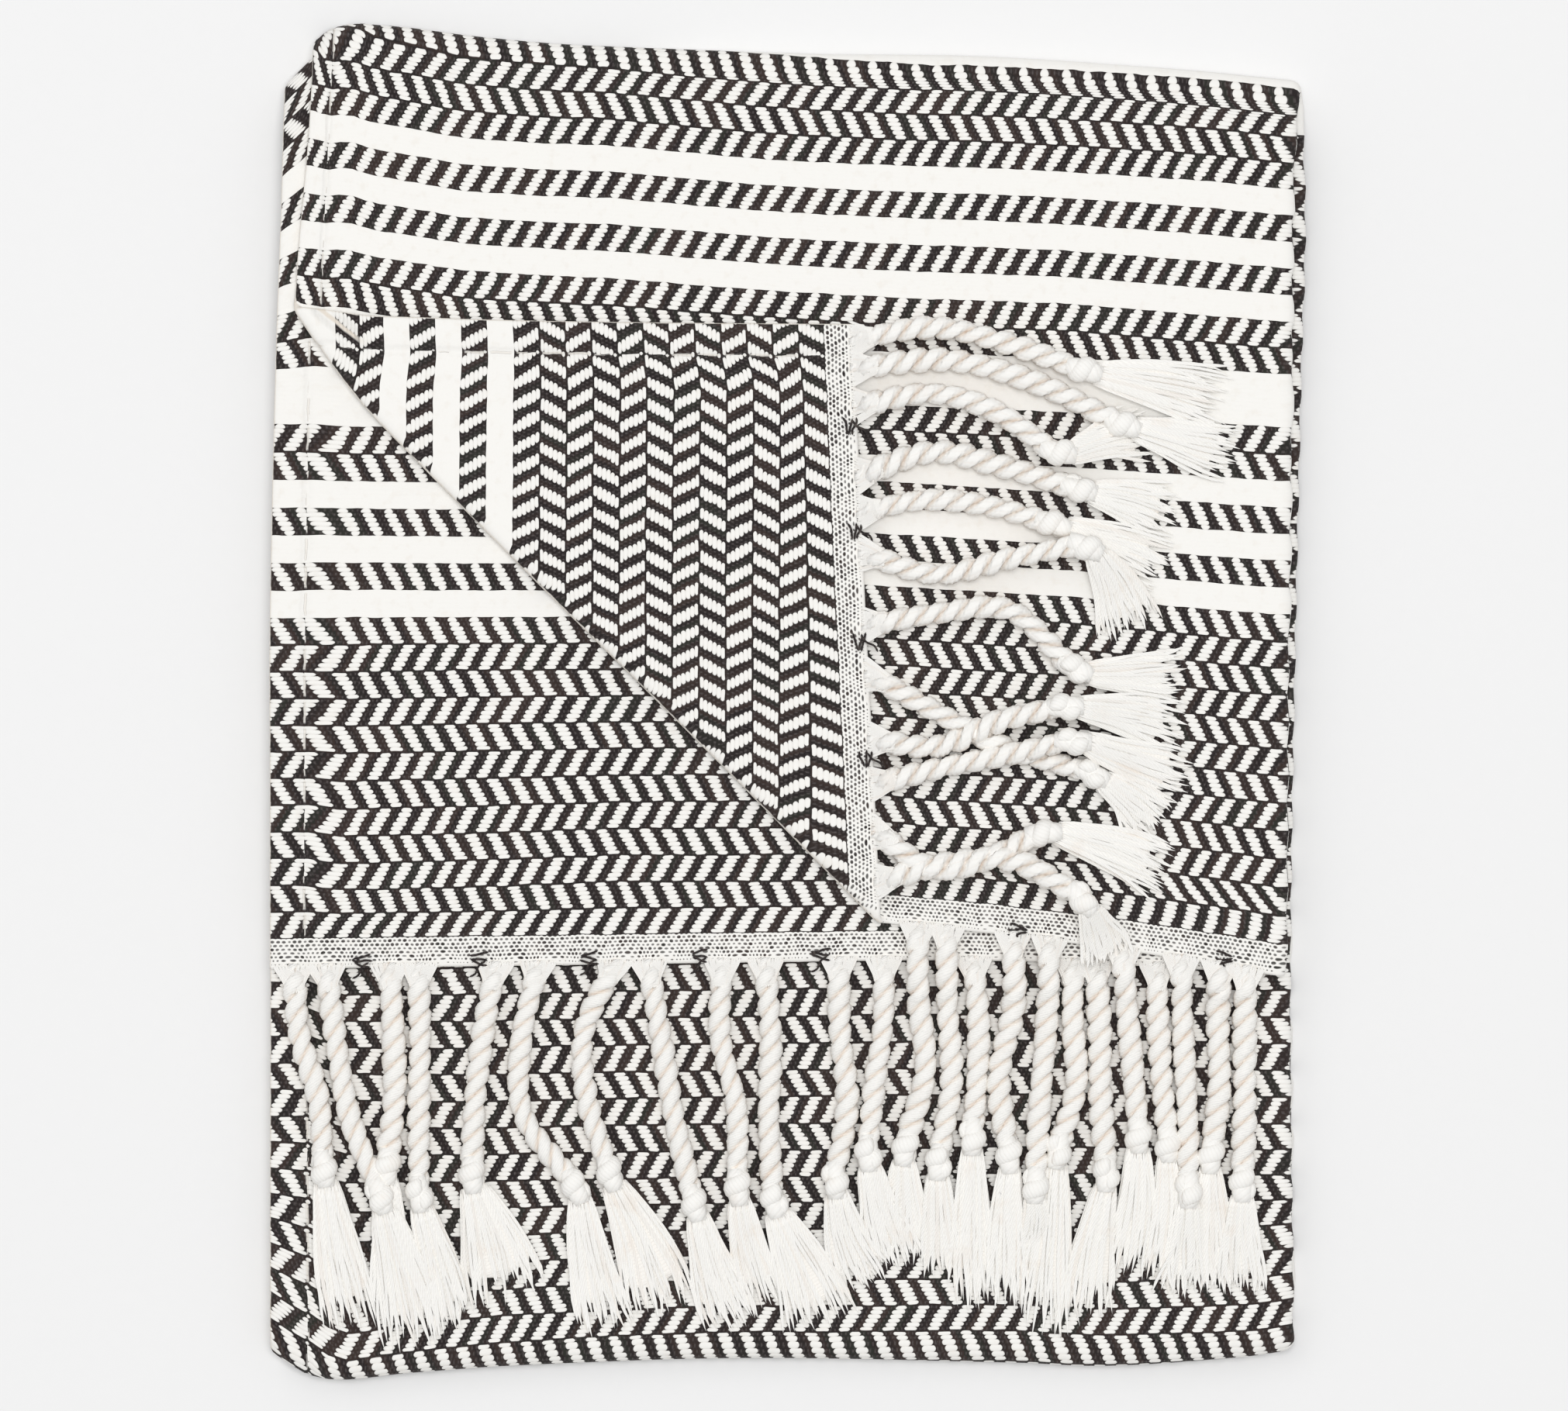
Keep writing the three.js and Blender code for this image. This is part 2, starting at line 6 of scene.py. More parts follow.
import bmesh
import bpy
import numpy as np
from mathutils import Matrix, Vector


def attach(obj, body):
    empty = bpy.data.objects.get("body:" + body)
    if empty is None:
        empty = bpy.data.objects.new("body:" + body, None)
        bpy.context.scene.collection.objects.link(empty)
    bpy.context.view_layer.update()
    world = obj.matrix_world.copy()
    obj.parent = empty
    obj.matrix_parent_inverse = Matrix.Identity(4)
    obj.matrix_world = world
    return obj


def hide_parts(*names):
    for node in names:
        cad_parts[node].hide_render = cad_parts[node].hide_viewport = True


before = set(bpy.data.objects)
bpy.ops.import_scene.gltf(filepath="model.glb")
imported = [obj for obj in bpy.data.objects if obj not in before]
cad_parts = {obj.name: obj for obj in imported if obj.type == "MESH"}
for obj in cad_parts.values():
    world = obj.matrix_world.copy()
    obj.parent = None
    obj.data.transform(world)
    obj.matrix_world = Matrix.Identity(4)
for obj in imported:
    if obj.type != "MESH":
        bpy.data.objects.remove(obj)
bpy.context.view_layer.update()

# ---- Sizes of the flat cloth and its folds, in millimetres ----
MM = 0.001
UPPER_WIDTH = 225
UNDER_WIDTH = 221
LENGTH = 691.2
HEADING = 6.6
PLY = 1.4
STEP = 2.1
HEM = 7

CORNER_ON_END = 138
CORNER_ON_HEM = 130.7
TOP_FOLD_Y = 137
BOTTOM_FOLD_Y = -139
TOP_BULGE = 1.5
BOTTOM_BULGE = 1.2
SIDE_BULGE = 1.3
SAG_FROM_Y = 126
SAG_TO_Y = 140
SAG = 2 * STEP
TOP_EDGE_FROM_Y = 60
BOTTOM_EDGE_FROM_Y = -90
BOTTOM_EDGE_TO_Y = -140
FRONT_LEVEL = 4.5
HEM_DRAW = 22
CENTRE_X = 0.5
CENTRE_Y = 1.7

# Finer than in the solids: how wide the rows drop beside the side fold, how far the layers are
# drawn together, and how much of them beside the open edge makes up for that
FOLD_DRAW = 90
UPPER_DRAW = 0.972
UNDER_DRAW = 0.994
EDGE_GIVE = 22
EDGE_CURVE = 1.6
WHITE_ROW_SWELL = 0.3

TURN_RADIUS = STEP / 2
TURN_ARC = math.pi * TURN_RADIUS
WIDTH = UPPER_WIDTH + TURN_ARC + UNDER_WIDTH
FOLD_RADIUS = STEP
FOLD_ARC = 8.3
MIDDLE_FROM = TOP_FOLD_Y + FOLD_ARC
MIDDLE_TO = MIDDLE_FROM + TOP_FOLD_Y - BOTTOM_FOLD_Y
LOWEST_FROM = MIDDLE_TO + FOLD_ARC
SIDE_FOLD_U = UPPER_WIDTH + TURN_ARC / 2
DIAGONAL_NORM = math.hypot(1 / CORNER_ON_END, 1 / CORNER_ON_HEM)

# The weave: rows of slanted bars across the cloth
ROWS = 116
ROW = (LENGTH - 2 * HEADING) / ROWS
BAR_PITCH = 4.865
BAR_SHIFT = 0.55 * ROW
THREADS_PER_ROW = 6
HEM_BAR_SHIFT = 0.35 * BAR_PITCH
DOT_PITCH = 1.12
DOT_ROW = 0.84
DOT_STRETCH = 1.35
GATHER_PITCH = 8.2
CREASE_FROM_V = 121.5
CREASE_SIN, CREASE_COS = 0.464, 0.886
WHITE_ROWS = [(12, 13), (14, 15), (16, 17), (19, 21), (23, 24), (25, 26), (27, 28), (32, 34)]


def columns(names, rows):
    """A table whose columns go by name, the first one holding the marks it is read at."""
    return dict(zip(names.split(), np.array(rows, dtype=float).T))


LAY = columns("mark upper_x upper_run hem_rise fold_x fold_run fold_drop under_x under_run", [
    [0, -116, -36, 0, 107.9, -53.9, 4.5, -113, -57],
    [40, -112.6, 1, 0, 108.2, -15.1, 1.2, -113, -16.8],
    [77, -109.5, 35.2, 0, 108.4, 20.7, 0, -113, 20.3],
    [135, -107, 90.4, 4.5, 109, 78.6, 0, -111.6, 81],
    [171, -104, 121, 7.7, 109.2, 116.9, 0, -110.3, 120],
    [200, -104, 149.5, 7.7, 111.4, 146.5, 0, -110, 147],
    [226, -106, 175, 6, 112.2, 173, 0, -110.5, 173],
    [260, -108.5, 209, 3, 111.3, 208, 0, -111.5, 207],
    [340, -111.5, 290, 0, 109.6, 289.5, 0, -112.8, 289],
    [400, -111.5, 350, 0, 108.9, 350, 0, -113, 350],
    [478, -111.5, 428, 0, 109.6, 428, 0, -113, 428],
    [560, -111, 510, 0, 109, 510, 0, -112, 510],
    [LENGTH, -109, 641, 0, 108, 641, 0, -110, 641],
])
TOP_EDGE = columns("mark out", [
    [-114, -7], [-109, -1.5], [-99, 7.3], [-88, 7.8], [-68, 5.4],
    [-48, 3.7], [3, 1.7], [44, 1], [85, -1.7], [111, -4.2],
])
BOTTOM_EDGE = columns("mark out", [
    [-114, -3], [-102, 3.6], [-82, 2.4], [-61, 0.9], [-10, -0.8],
    [50, 0.2], [71, 0.9], [101, -1.1], [112, -2.7],
])

# How far the woven rows stray from an even weave: sideways and upwards at places of the pile
TOP_DRIFT = {
    "x": [-97.0, -71.8, -38.3, -4.7, 28.9, 62.4, 96.0],
    "y": [141.8, 135.1, 116.9, 103.5, 90.1, 73.3, 53.1, 26.3, -7.3, -24.1, -40.8],
    "across": [
        [2, 1.7, 1.7, 1.7, 1.8, 1.7, 1.2],
        [2, 1.7, 1.7, 1.7, 1.8, 1.7, 1],
        [1.8, 1.7, 1.7, 1.7, 1.7, 1.7, 1],
        [1.7, 1.1, 1, 1, 1, 1, 0.5],
        [0.7, 0.2, 0, 0, 0.3, 0.3, -0.2],
        [-1.3, -1.3, -1, -0.7, 0.7, -0.3, -1],
        [-1.8, -1.8, -1.8, -1.7, -0.5, -1, -1.5],
        [-2.9, -2.9, -2.9, -2.3, -0.7, -1.2, -1.7],
        [-3.2, -3.5, -3.5, -3.4, -1.7, -1.7, -2.3],
        [-3.2, -3.5, -3.9, -3.9, -2, -1.8, -3],
        [-2.9, -3.5, -3.9, -4.2, -2, -2, -4],
    ],
    "up": [
        [1.7, 0.7, 1.7, 0.3, -0.5, 0.3, 1],
        [1.7, 0.7, 1.7, 0.3, -0.5, 0.3, 1.3],
        [2, 0.7, 2, 0.7, 0.3, 0.7, 1.3],
        [1.3, 0.3, 1.7, 1, 0.7, 1.2, 1.3],
        [1.3, 0, 1, 0.7, 0.8, 1.7, 1.3],
        [0, 0, 0.7, 0.7, 0.3, 1.7, 1],
        [0, 0, 0.3, 0.7, 1, 0.8, 0.7],
        [0.3, 0.2, 0.3, 0.7, 1, 1.3, 0.5],
        [-0.2, 0, 0.3, 0.3, 0, 0.7, 0],
        [-0.7, -0.5, 0, 0, -1, 0.2, 0],
        [-1.3, -1, -0.3, -0.3, -1, -0.3, 0],
    ],
}
LOWER_DRIFT = {
    "x": [-95.3, -71.8, -55.1, -21.5, 12.1, 45.7, 79.2, 104.4],
    "y": [-61.0, -94.6, -114.7, -134.8, -144.9],
    "across": [
        [0.3, 1.7, 1.2, 0.5, -0.7, -0.3, 0, 0],
        [0, 1.7, 1.2, 0.4, 0, 0, 0, 0],
        [0, 1, 1.2, 0.3, 0.2, 0, 0, -0.3],
        [0, -0.3, -1, -1, -1.3, -1, -1, -1.3],
        [0, -0.8, -1.3, -1.7, -1.5, -1.2, -1, -1.3],
    ],
    "up": [
        [-2.7, -2.7, -2.3, -1.7, -1.3, -1, -1, -1.7],
        [-2.3, -2.7, -2.3, -1.8, -1.5, -1, -1, -1.7],
        [-2.3, -2.3, -2.3, -2, -1.7, -0.7, -0.8, -1.5],
        [-3, -2.3, -2, -1.7, -1.5, -0.3, -0.7, -1.7],
        [-3, -2.2, -1.8, -1.3, -1.2, 0, -0.3, -1.5],
    ],
}
FLAP_DRIFT = {
    "x": [-88.6, -71.8, -38.3, -21.5, -4.7, 12.1],
    "y": [80.0, -34.1],
    "across": [
        [-0.8, -0.2, 0.8, 1.3, 1.9, 2.4],
        [-6.8, -6.2, -5.2, -4.7, -4.1, -3.6],
    ],
    "up": [
        [-0.5, -0.3, 0.3, 0.3, 0, -0.8],
        [-0.5, -0.3, 0.3, 0.3, 0, -0.8],
    ],
}
BARED_DRIFT = {
    "x": [-97.0, -71.8, -38.3, -4.7],
    "y": [73.3, 53.1, 26.3, 9.5, -7.3, -24.1, -40.8],
    "across": [
        [2.3, 2.3, 2.3, 2.3],
        [2.2, 2.2, 2.2, 2],
        [2, 1.8, 1.8, 1.7],
        [1.9, 1.7, 1.5, 1.3],
        [1.7, 1.3, 1.3, 1],
        [1.7, 1.3, 1, 0.5],
        [2, 1.3, 1, 0.7],
    ],
    "up": [
        [-0.7, -0.7, -0.7, -0.7],
        [-0.3, -0.5, -0.3, -0.3],
        [0.2, 0, 0, 0],
        [0, 0.3, 0.3, 0.3],
        [-0.3, 0, 0.3, 0.3],
        [-1, -0.7, 0, 0],
        [-1.3, -1, 0, -0.3],
    ],
}

# ---- Fringe strands ----
# root distance from the open edge, two sideways bows, knot x and y, tip x and y, spread, lift
UNDER_STRANDS = [
    (4.9, -0.9, 1, -101.2, -99.5, -94.5, -135, 11, 0),
    (11.7, -1.7, -2.4, -89.1, -105.4, -80.2, -138.5, 12, 1),
    (25.2, 1, 1.4, -87.2, -99, -85, -131, 8, 0),
    (31.6, 0.3, 0, -80.2, -105, -73.5, -136, 9, 0),
    (48.6, -1, -1, -68.7, -100.8, -61.5, -129, 15, 0),
    (58, -6.3, -8.3, -46.6, -103.5, -39.4, -135.5, 10, 0),
    (75, -6.3, -5.1, -38.8, -100.5, -26.7, -131.8, 13, 0),
    (82.3, -0.3, -0.7, -20.2, -107.1, -11.5, -134.8, 10, 0),
    (98.6, -1.5, 1, -10.5, -103.5, -4, -130, 8, 1),
    (108.1, 0.7, -0.3, -2.7, -106.3, 9, -135.5, 13, 0),
    (124.4, 0.5, 2.4, 11, -102, 18, -125.8, 10, 0),
    (134.3, 1, 0.3, 18.2, -96, 24.5, -122, 9, 1),
    (154, 1.2, 1, 41.2, -92.5, 41.8, -130, 8, 0),
    (176, 1, 2.7, 60.2, -95.5, 57.5, -136.2, 9, 0),
    (181.2, 0, -0.5, 70.5, -100.5, 66.5, -131.8, 9, 0),
    (194.5, -0.5, -0.5, 84, -94, 83, -125, 8, 0),
]
UPPER_STRANDS = [
    (144, 1, 3.4, 26.5, -94.9, 27, -120, 9, 0),
    (150.5, 0.7, 2.2, 33.8, -98, 34.5, -124, 8, 0),
    (165.4, 0.5, -2.4, 49, -96.5, 49.3, -130, 8, 0),
    (173.6, 0.5, 0, 55, -103, 54, -122, 7, 1),
    (190, 0, 0, 77.5, -92, 75, -123.6, 9, 0),
    (203.3, 0, 0.3, 88.5, -104, 88, -128, 8, 1),
    (212, 0.3, 1.2, 93.5, -96.5, 93.5, -126.8, 8, 0),
    (218, 0, 0.3, 100.3, -102.7, 100.5, -127.8, 9, 0),
]
CORNER_STRANDS = [
    (3.6, 4.9, 3.6, 64.3, 74.6, 96.6, 67.2, 11, 0),
    (9.7, 5.8, 4.9, 72.8, 62.8, 98.3, 56, 10, 0),
    (18.2, 6.3, 5.8, 58.5, 56.5, 80, 61, 9, 3),
    (33.5, 6, 3.7, 63.1, 48.6, 85.3, 42.5, 10, 0),
    (41.7, 3.4, 2.9, 57.5, 41, 83, 30, 12, 0),
    (50.8, -5.3, -2.5, 64.5, 36, 75.5, 17, 11, 3),
    (67.2, 5.8, 9.4, 62.4, 9.5, 87, 7.5, 9, 0),
    (78.5, -1.5, -2.5, 66, -13.5, 81.3, -25.5, 8, 0),
    (93.5, -3.9, -0.9, 60, 0.5, 86.7, -4.5, 9, 3),
    (103.7, 0.3, 0, 61.7, -7, 88.4, -15, 9, 3),
    (114.8, -7.5, -5.8, 55.4, -27.2, 84, -36, 10, 0),
    (126, 4.9, 6.5, 64, -40.5, 70.5, -55, 9, 3),
]
CORD_RADIUS = 2.4
CORD_PITCH = 9.0
PLY_OFFSET = 1.1
PLY_THICK = 1.35
PLY_WIDE = 1.85
RING_EVERY = 1.1
KNOT_RADIUS = 3.2
REST_GAP = 0.15
CORD_SIDES = 12
KNOT_SIDES = 10
KNOT_STEPS = 26
KNOT_TURNS = 1.25
KNOT_WRAP_LENGTH = 26
KNOT_CORE_LENGTH = 8
KNOT_CORE = ((-1, 0), (-0.97, 1.7), (-0.5, 2.2), (0, 2.3), (0.5, 2.3), (0.97, 1.9), (1, 0))
YARN_SIDES = 4
YARN_LENGTH = 12
YARN_RADIUS = 0.40
ROOT_YARN_RADIUS = 0.36
ROOT_REACH = 4.3
TASSEL_LEVELS = 8
BUNCH_TAPER = (1, 1, 1, 1, 1, 0.95, 0.8)
YARNS_PER_TASSEL = 34
YARNS_PER_ROOT = 15
FAR_STRANDS_PER_PLY = 17
FAR_CORD_LENGTH = 34
FAR_STRAND_LENGTH = 52


# ---- Where a point of the flat cloth lies in the folded towel ----
def mix(start, end, share):
    return start + (end - start) * share


def ease(start, end, at):
    """A smooth rise from 0 to 1 as a value goes from one bound to the other, either way."""
    t = np.clip((at - start) / (end - start), 0, 1)
    return t * t * (3 - 2 * t)


def read_table(table, name, at):
    """A named column of a table, read smoothly at values of its marks."""
    marks, values = table["mark"], table[name]
    last = len(marks) - 1
    before = np.maximum(np.arange(last + 1) - 1, 0)
    after = np.minimum(np.arange(last + 1) + 1, last)
    slopes = (values[after] - values[before]) / (marks[after] - marks[before])
    place = np.clip(at, marks[0], marks[-1])
    i = np.clip(np.searchsorted(marks, place) - 1, 0, last - 1)
    span = marks[i + 1] - marks[i]
    t = (place - marks[i]) / span
    rise = values[i + 1] - values[i]
    a = slopes[i] * span - rise
    b = rise - slopes[i + 1] * span
    return values[i] + rise * t + t * (1 - t) * (a * (1 - t) + b * t)


def past_diagonal(u, v):
    """How far points lie past the diagonal line of the corner fold, below 0 before it."""
    return (1 - u / CORNER_ON_END - v / CORNER_ON_HEM) / DIAGONAL_NORM


def turn_corner(u, v, lift):
    """The corner fold: cloth past the diagonal line is rolled up and back over itself."""
    past = np.maximum(past_diagonal(u, v), 0)
    angle = np.minimum(past / TURN_RADIUS, math.pi)
    bulge = SIDE_BULGE * (TURN_RADIUS - lift) * np.sin(angle)
    shift = (past - bulge + np.maximum(past - TURN_ARC, 0)) / DIAGONAL_NORM
    turned = TURN_RADIUS - (TURN_RADIUS - lift) * np.cos(angle)
    return u + shift / CORNER_ON_END, v + shift / CORNER_ON_HEM, turned


def fold_across(run, lift):
    """The two folds across, which lay the doubled strip in three parts."""
    front = PLY / 2 + FRONT_LEVEL * STEP
    middle = front - 2 * FOLD_RADIUS
    lowest = middle - 2 * FOLD_RADIUS
    top = math.pi * np.clip((run - TOP_FOLD_Y) / FOLD_ARC, 0, 1)
    low = math.pi * np.clip((run - MIDDLE_TO) / FOLD_ARC, 0, 1)
    parts = [run < TOP_FOLD_Y, run < MIDDLE_FROM, run < MIDDLE_TO, run < LOWEST_FROM]
    y = np.select(parts, [
        run,
        TOP_FOLD_Y + TOP_BULGE * (FOLD_RADIUS + lift) * np.sin(top),
        TOP_FOLD_Y - (run - MIDDLE_FROM),
        BOTTOM_FOLD_Y - BOTTOM_BULGE * (FOLD_RADIUS - lift) * np.sin(low),
    ], BOTTOM_FOLD_Y + (run - LOWEST_FROM))
    z = np.select(parts, [
        front + lift,
        middle + FOLD_RADIUS + (FOLD_RADIUS + lift) * np.cos(top),
        middle - lift,
        lowest + FOLD_RADIUS + (FOLD_RADIUS - lift) * np.cos(low),
    ], lowest + lift)
    return y, z - np.where(run < MIDDLE_TO, SAG * ease(SAG_FROM_Y, SAG_TO_Y, y), 0)


def row_bulge(v):
    """1 at the plain white rows, which swell a little at the edges, and less between them."""
    row = (v - HEADING) / ROW
    nearer = np.minimum(row, ROWS - row)
    swelling = sum(
        np.exp(-(((nearer - (start + end) / 2) / (0.45 * (end - start))) ** 2))
        for start, end in WHITE_ROWS
    )
    return np.clip(swelling, 0, 1) + 0.35 * np.cos(math.pi * row) * (1 - np.clip(swelling, 0, 1))


def swell(x, y, z):
    """The gentle rise and fall of the whole pile."""
    return np.maximum(z * (1 + 0.05 * np.sin(x / 31 + 1) * np.cos(y / 47)), 0)


def place(u, v, lift):
    """Where points of the flat cloth, at heights above its middle, lie in the folded towel."""
    u, v, lift = turn_corner(u, v, lift)
    past = u - UPPER_WIDTH
    under = past >= TURN_ARC
    width = np.where(under, UNDER_WIDTH, UPPER_WIDTH)
    share = np.where(under, (WIDTH - u) / UNDER_WIDTH, np.minimum(u / UPPER_WIDTH, 1))
    angle = np.clip(past / TURN_RADIUS, 0, math.pi)
    radius = TURN_RADIUS + lift
    edge_x = np.where(under, read_table(LAY, "under_x", v), read_table(LAY, "upper_x", v))
    edge_run = np.where(under, read_table(LAY, "under_run", v), read_table(LAY, "upper_run", v))
    near_hem = np.where(under, 0, np.maximum(1 - share * UPPER_WIDTH / HEM_DRAW, 0))
    run = mix(edge_run, read_table(LAY, "fold_run", v), share)
    run = run + read_table(LAY, "hem_rise", v) * near_hem**2
    fold_x = read_table(LAY, "fold_x", v)
    from_edge = share * width
    near_fold = np.maximum(1 - (width - from_edge) / FOLD_DRAW, 0)
    run = run - read_table(LAY, "fold_drop", v) * near_fold**2
    drawn = np.where(under, UNDER_WIDTH * UNDER_DRAW, UPPER_WIDTH * UPPER_DRAW)
    x = fold_x - drawn * (1 - share)
    x = x + (edge_x - fold_x + drawn) * np.maximum(1 - from_edge / EDGE_GIVE, 0) ** EDGE_CURVE
    x = x + SIDE_BULGE * radius * np.sin(angle) * (1 + WHITE_ROW_SWELL * row_bulge(v))
    y, z = fold_across(run, radius * np.cos(angle))
    top = read_table(TOP_EDGE, "out", x) * ease(TOP_EDGE_FROM_Y, TOP_FOLD_Y, y)
    bottom = read_table(BOTTOM_EDGE, "out", x) * ease(BOTTOM_EDGE_FROM_Y, BOTTOM_EDGE_TO_Y, y)
    return np.stack([x - CENTRE_X, y + top - bottom - CENTRE_Y, swell(x, y, z)], axis=-1)


def place_one(u, v, lift=0.0):
    return Vector(place(np.array([u]), np.array([v]), np.array([lift]))[0])


# ---- Finishing a piece ----
def finish_piece(name, bm, material, smooth=True):
    """Turns a bmesh in millimetres into a piece of the towel."""
    bmesh.ops.scale(bm, vec=(MM, MM, MM), verts=bm.verts)
    mesh = bpy.data.meshes.new(name)
    bm.to_mesh(mesh)
    bm.free()
    if smooth:
        mesh.shade_smooth()
    mesh.materials.append(material)
    piece = bpy.data.objects.new(name, mesh)
    bpy.context.scene.collection.objects.link(piece)
    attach(piece, "root")
    return piece


# ---- Material recipes ----
class Recipe:
    """A new material whose nodes are added one after the other."""

    def __init__(self, name):
        self.material = bpy.data.materials.new(name)
        self.material.use_nodes = True
        self.tree = self.material.node_tree
        self.tree.nodes.clear()

    def add(self, kind, settings=None, **inputs):
        node = self.tree.nodes.new(kind)
        for key, value in (settings or {}).items():
            setattr(node, key, value)
        for key, value in inputs.items():
            self.feed(node.inputs[key.replace("_", " ")], value)
        return node

    def feed(self, socket, value):
        if isinstance(value, bpy.types.NodeSocket):
            self.tree.links.new(value, socket)
        else:
            socket.default_value = value

    def math(self, operation, *values):
        node = self.tree.nodes.new("ShaderNodeMath")
        node.operation = operation
        for socket, value in zip(node.inputs, values):
            self.feed(socket, value)
        return node.outputs[0]

    def plus(self, a, b):
        return self.math("ADD", a, b)

    def minus(self, a, b):
        return self.math("SUBTRACT", a, b)

    def times(self, a, b):
        return self.math("MULTIPLY", a, b)

    def either(self, a, b, share):
        """a where share is 0 and b where it is 1."""
        return self.plus(a, self.times(self.minus(b, a), share))

    def rise(self, value, start, end):
        """A smooth step from 0 at start to 1 at end."""
        settings = {"interpolation_type": "SMOOTHSTEP", "clamp": True}
        node = self.add("ShaderNodeMapRange", settings, Value=value)
        self.feed(node.inputs["From Min"], start)
        self.feed(node.inputs["From Max"], end)
        return node.outputs["Result"]

    def tint(self, a, b, share):
        """Colour a where share is 0 and b where it is 1."""
        node = self.tree.nodes.new("ShaderNodeMix")
        node.data_type = "RGBA"
        self.feed(node.inputs["Factor"], share)
        self.feed(node.inputs[6], a)
        self.feed(node.inputs[7], b)
        return node.outputs[2]

    def cloudy(self, vector, scale, detail=2.0):
        node = self.add("ShaderNodeTexNoise", Vector=vector, Scale=scale, Detail=detail)
        return node.outputs["Fac"]

    def cloth_surface(self, colour, height, rough, sheen):
        bump = self.add("ShaderNodeBump", Height=height, Distance=MM, Strength=1.0)
        shader = self.add("ShaderNodeBsdfPrincipled", Normal=bump.outputs["Normal"])
        self.feed(shader.inputs["Base Color"], colour)
        shader.inputs["Roughness"].default_value = rough
        shader.inputs["Specular IOR Level"].default_value = 0.15
        shader.inputs["Sheen Weight"].default_value = sheen
        shader.inputs["Sheen Roughness"].default_value = 0.6
        self.add("ShaderNodeOutputMaterial", Surface=shader.outputs["BSDF"])
        return self.material


COTTON_WHITE = (0.955, 0.94, 0.905, 1)
COTTON_CREAM = (0.80, 0.725, 0.63, 1)
CHARCOAL = (0.025, 0.020, 0.020, 1)
CHARCOAL_BROWN = (0.046, 0.032, 0.028, 1)
CHARCOAL_GREEN = (0.031, 0.031, 0.026, 1)
CHARCOAL_FLECK = (0.115, 0.10, 0.098, 1)
CHARCOAL_FUZZ = (0.12, 0.10, 0.09, 1)
FRINGE_WHITE = (0.985, 0.972, 0.94, 1)
FRINGE_TAN = (0.78, 0.60, 0.45, 1)


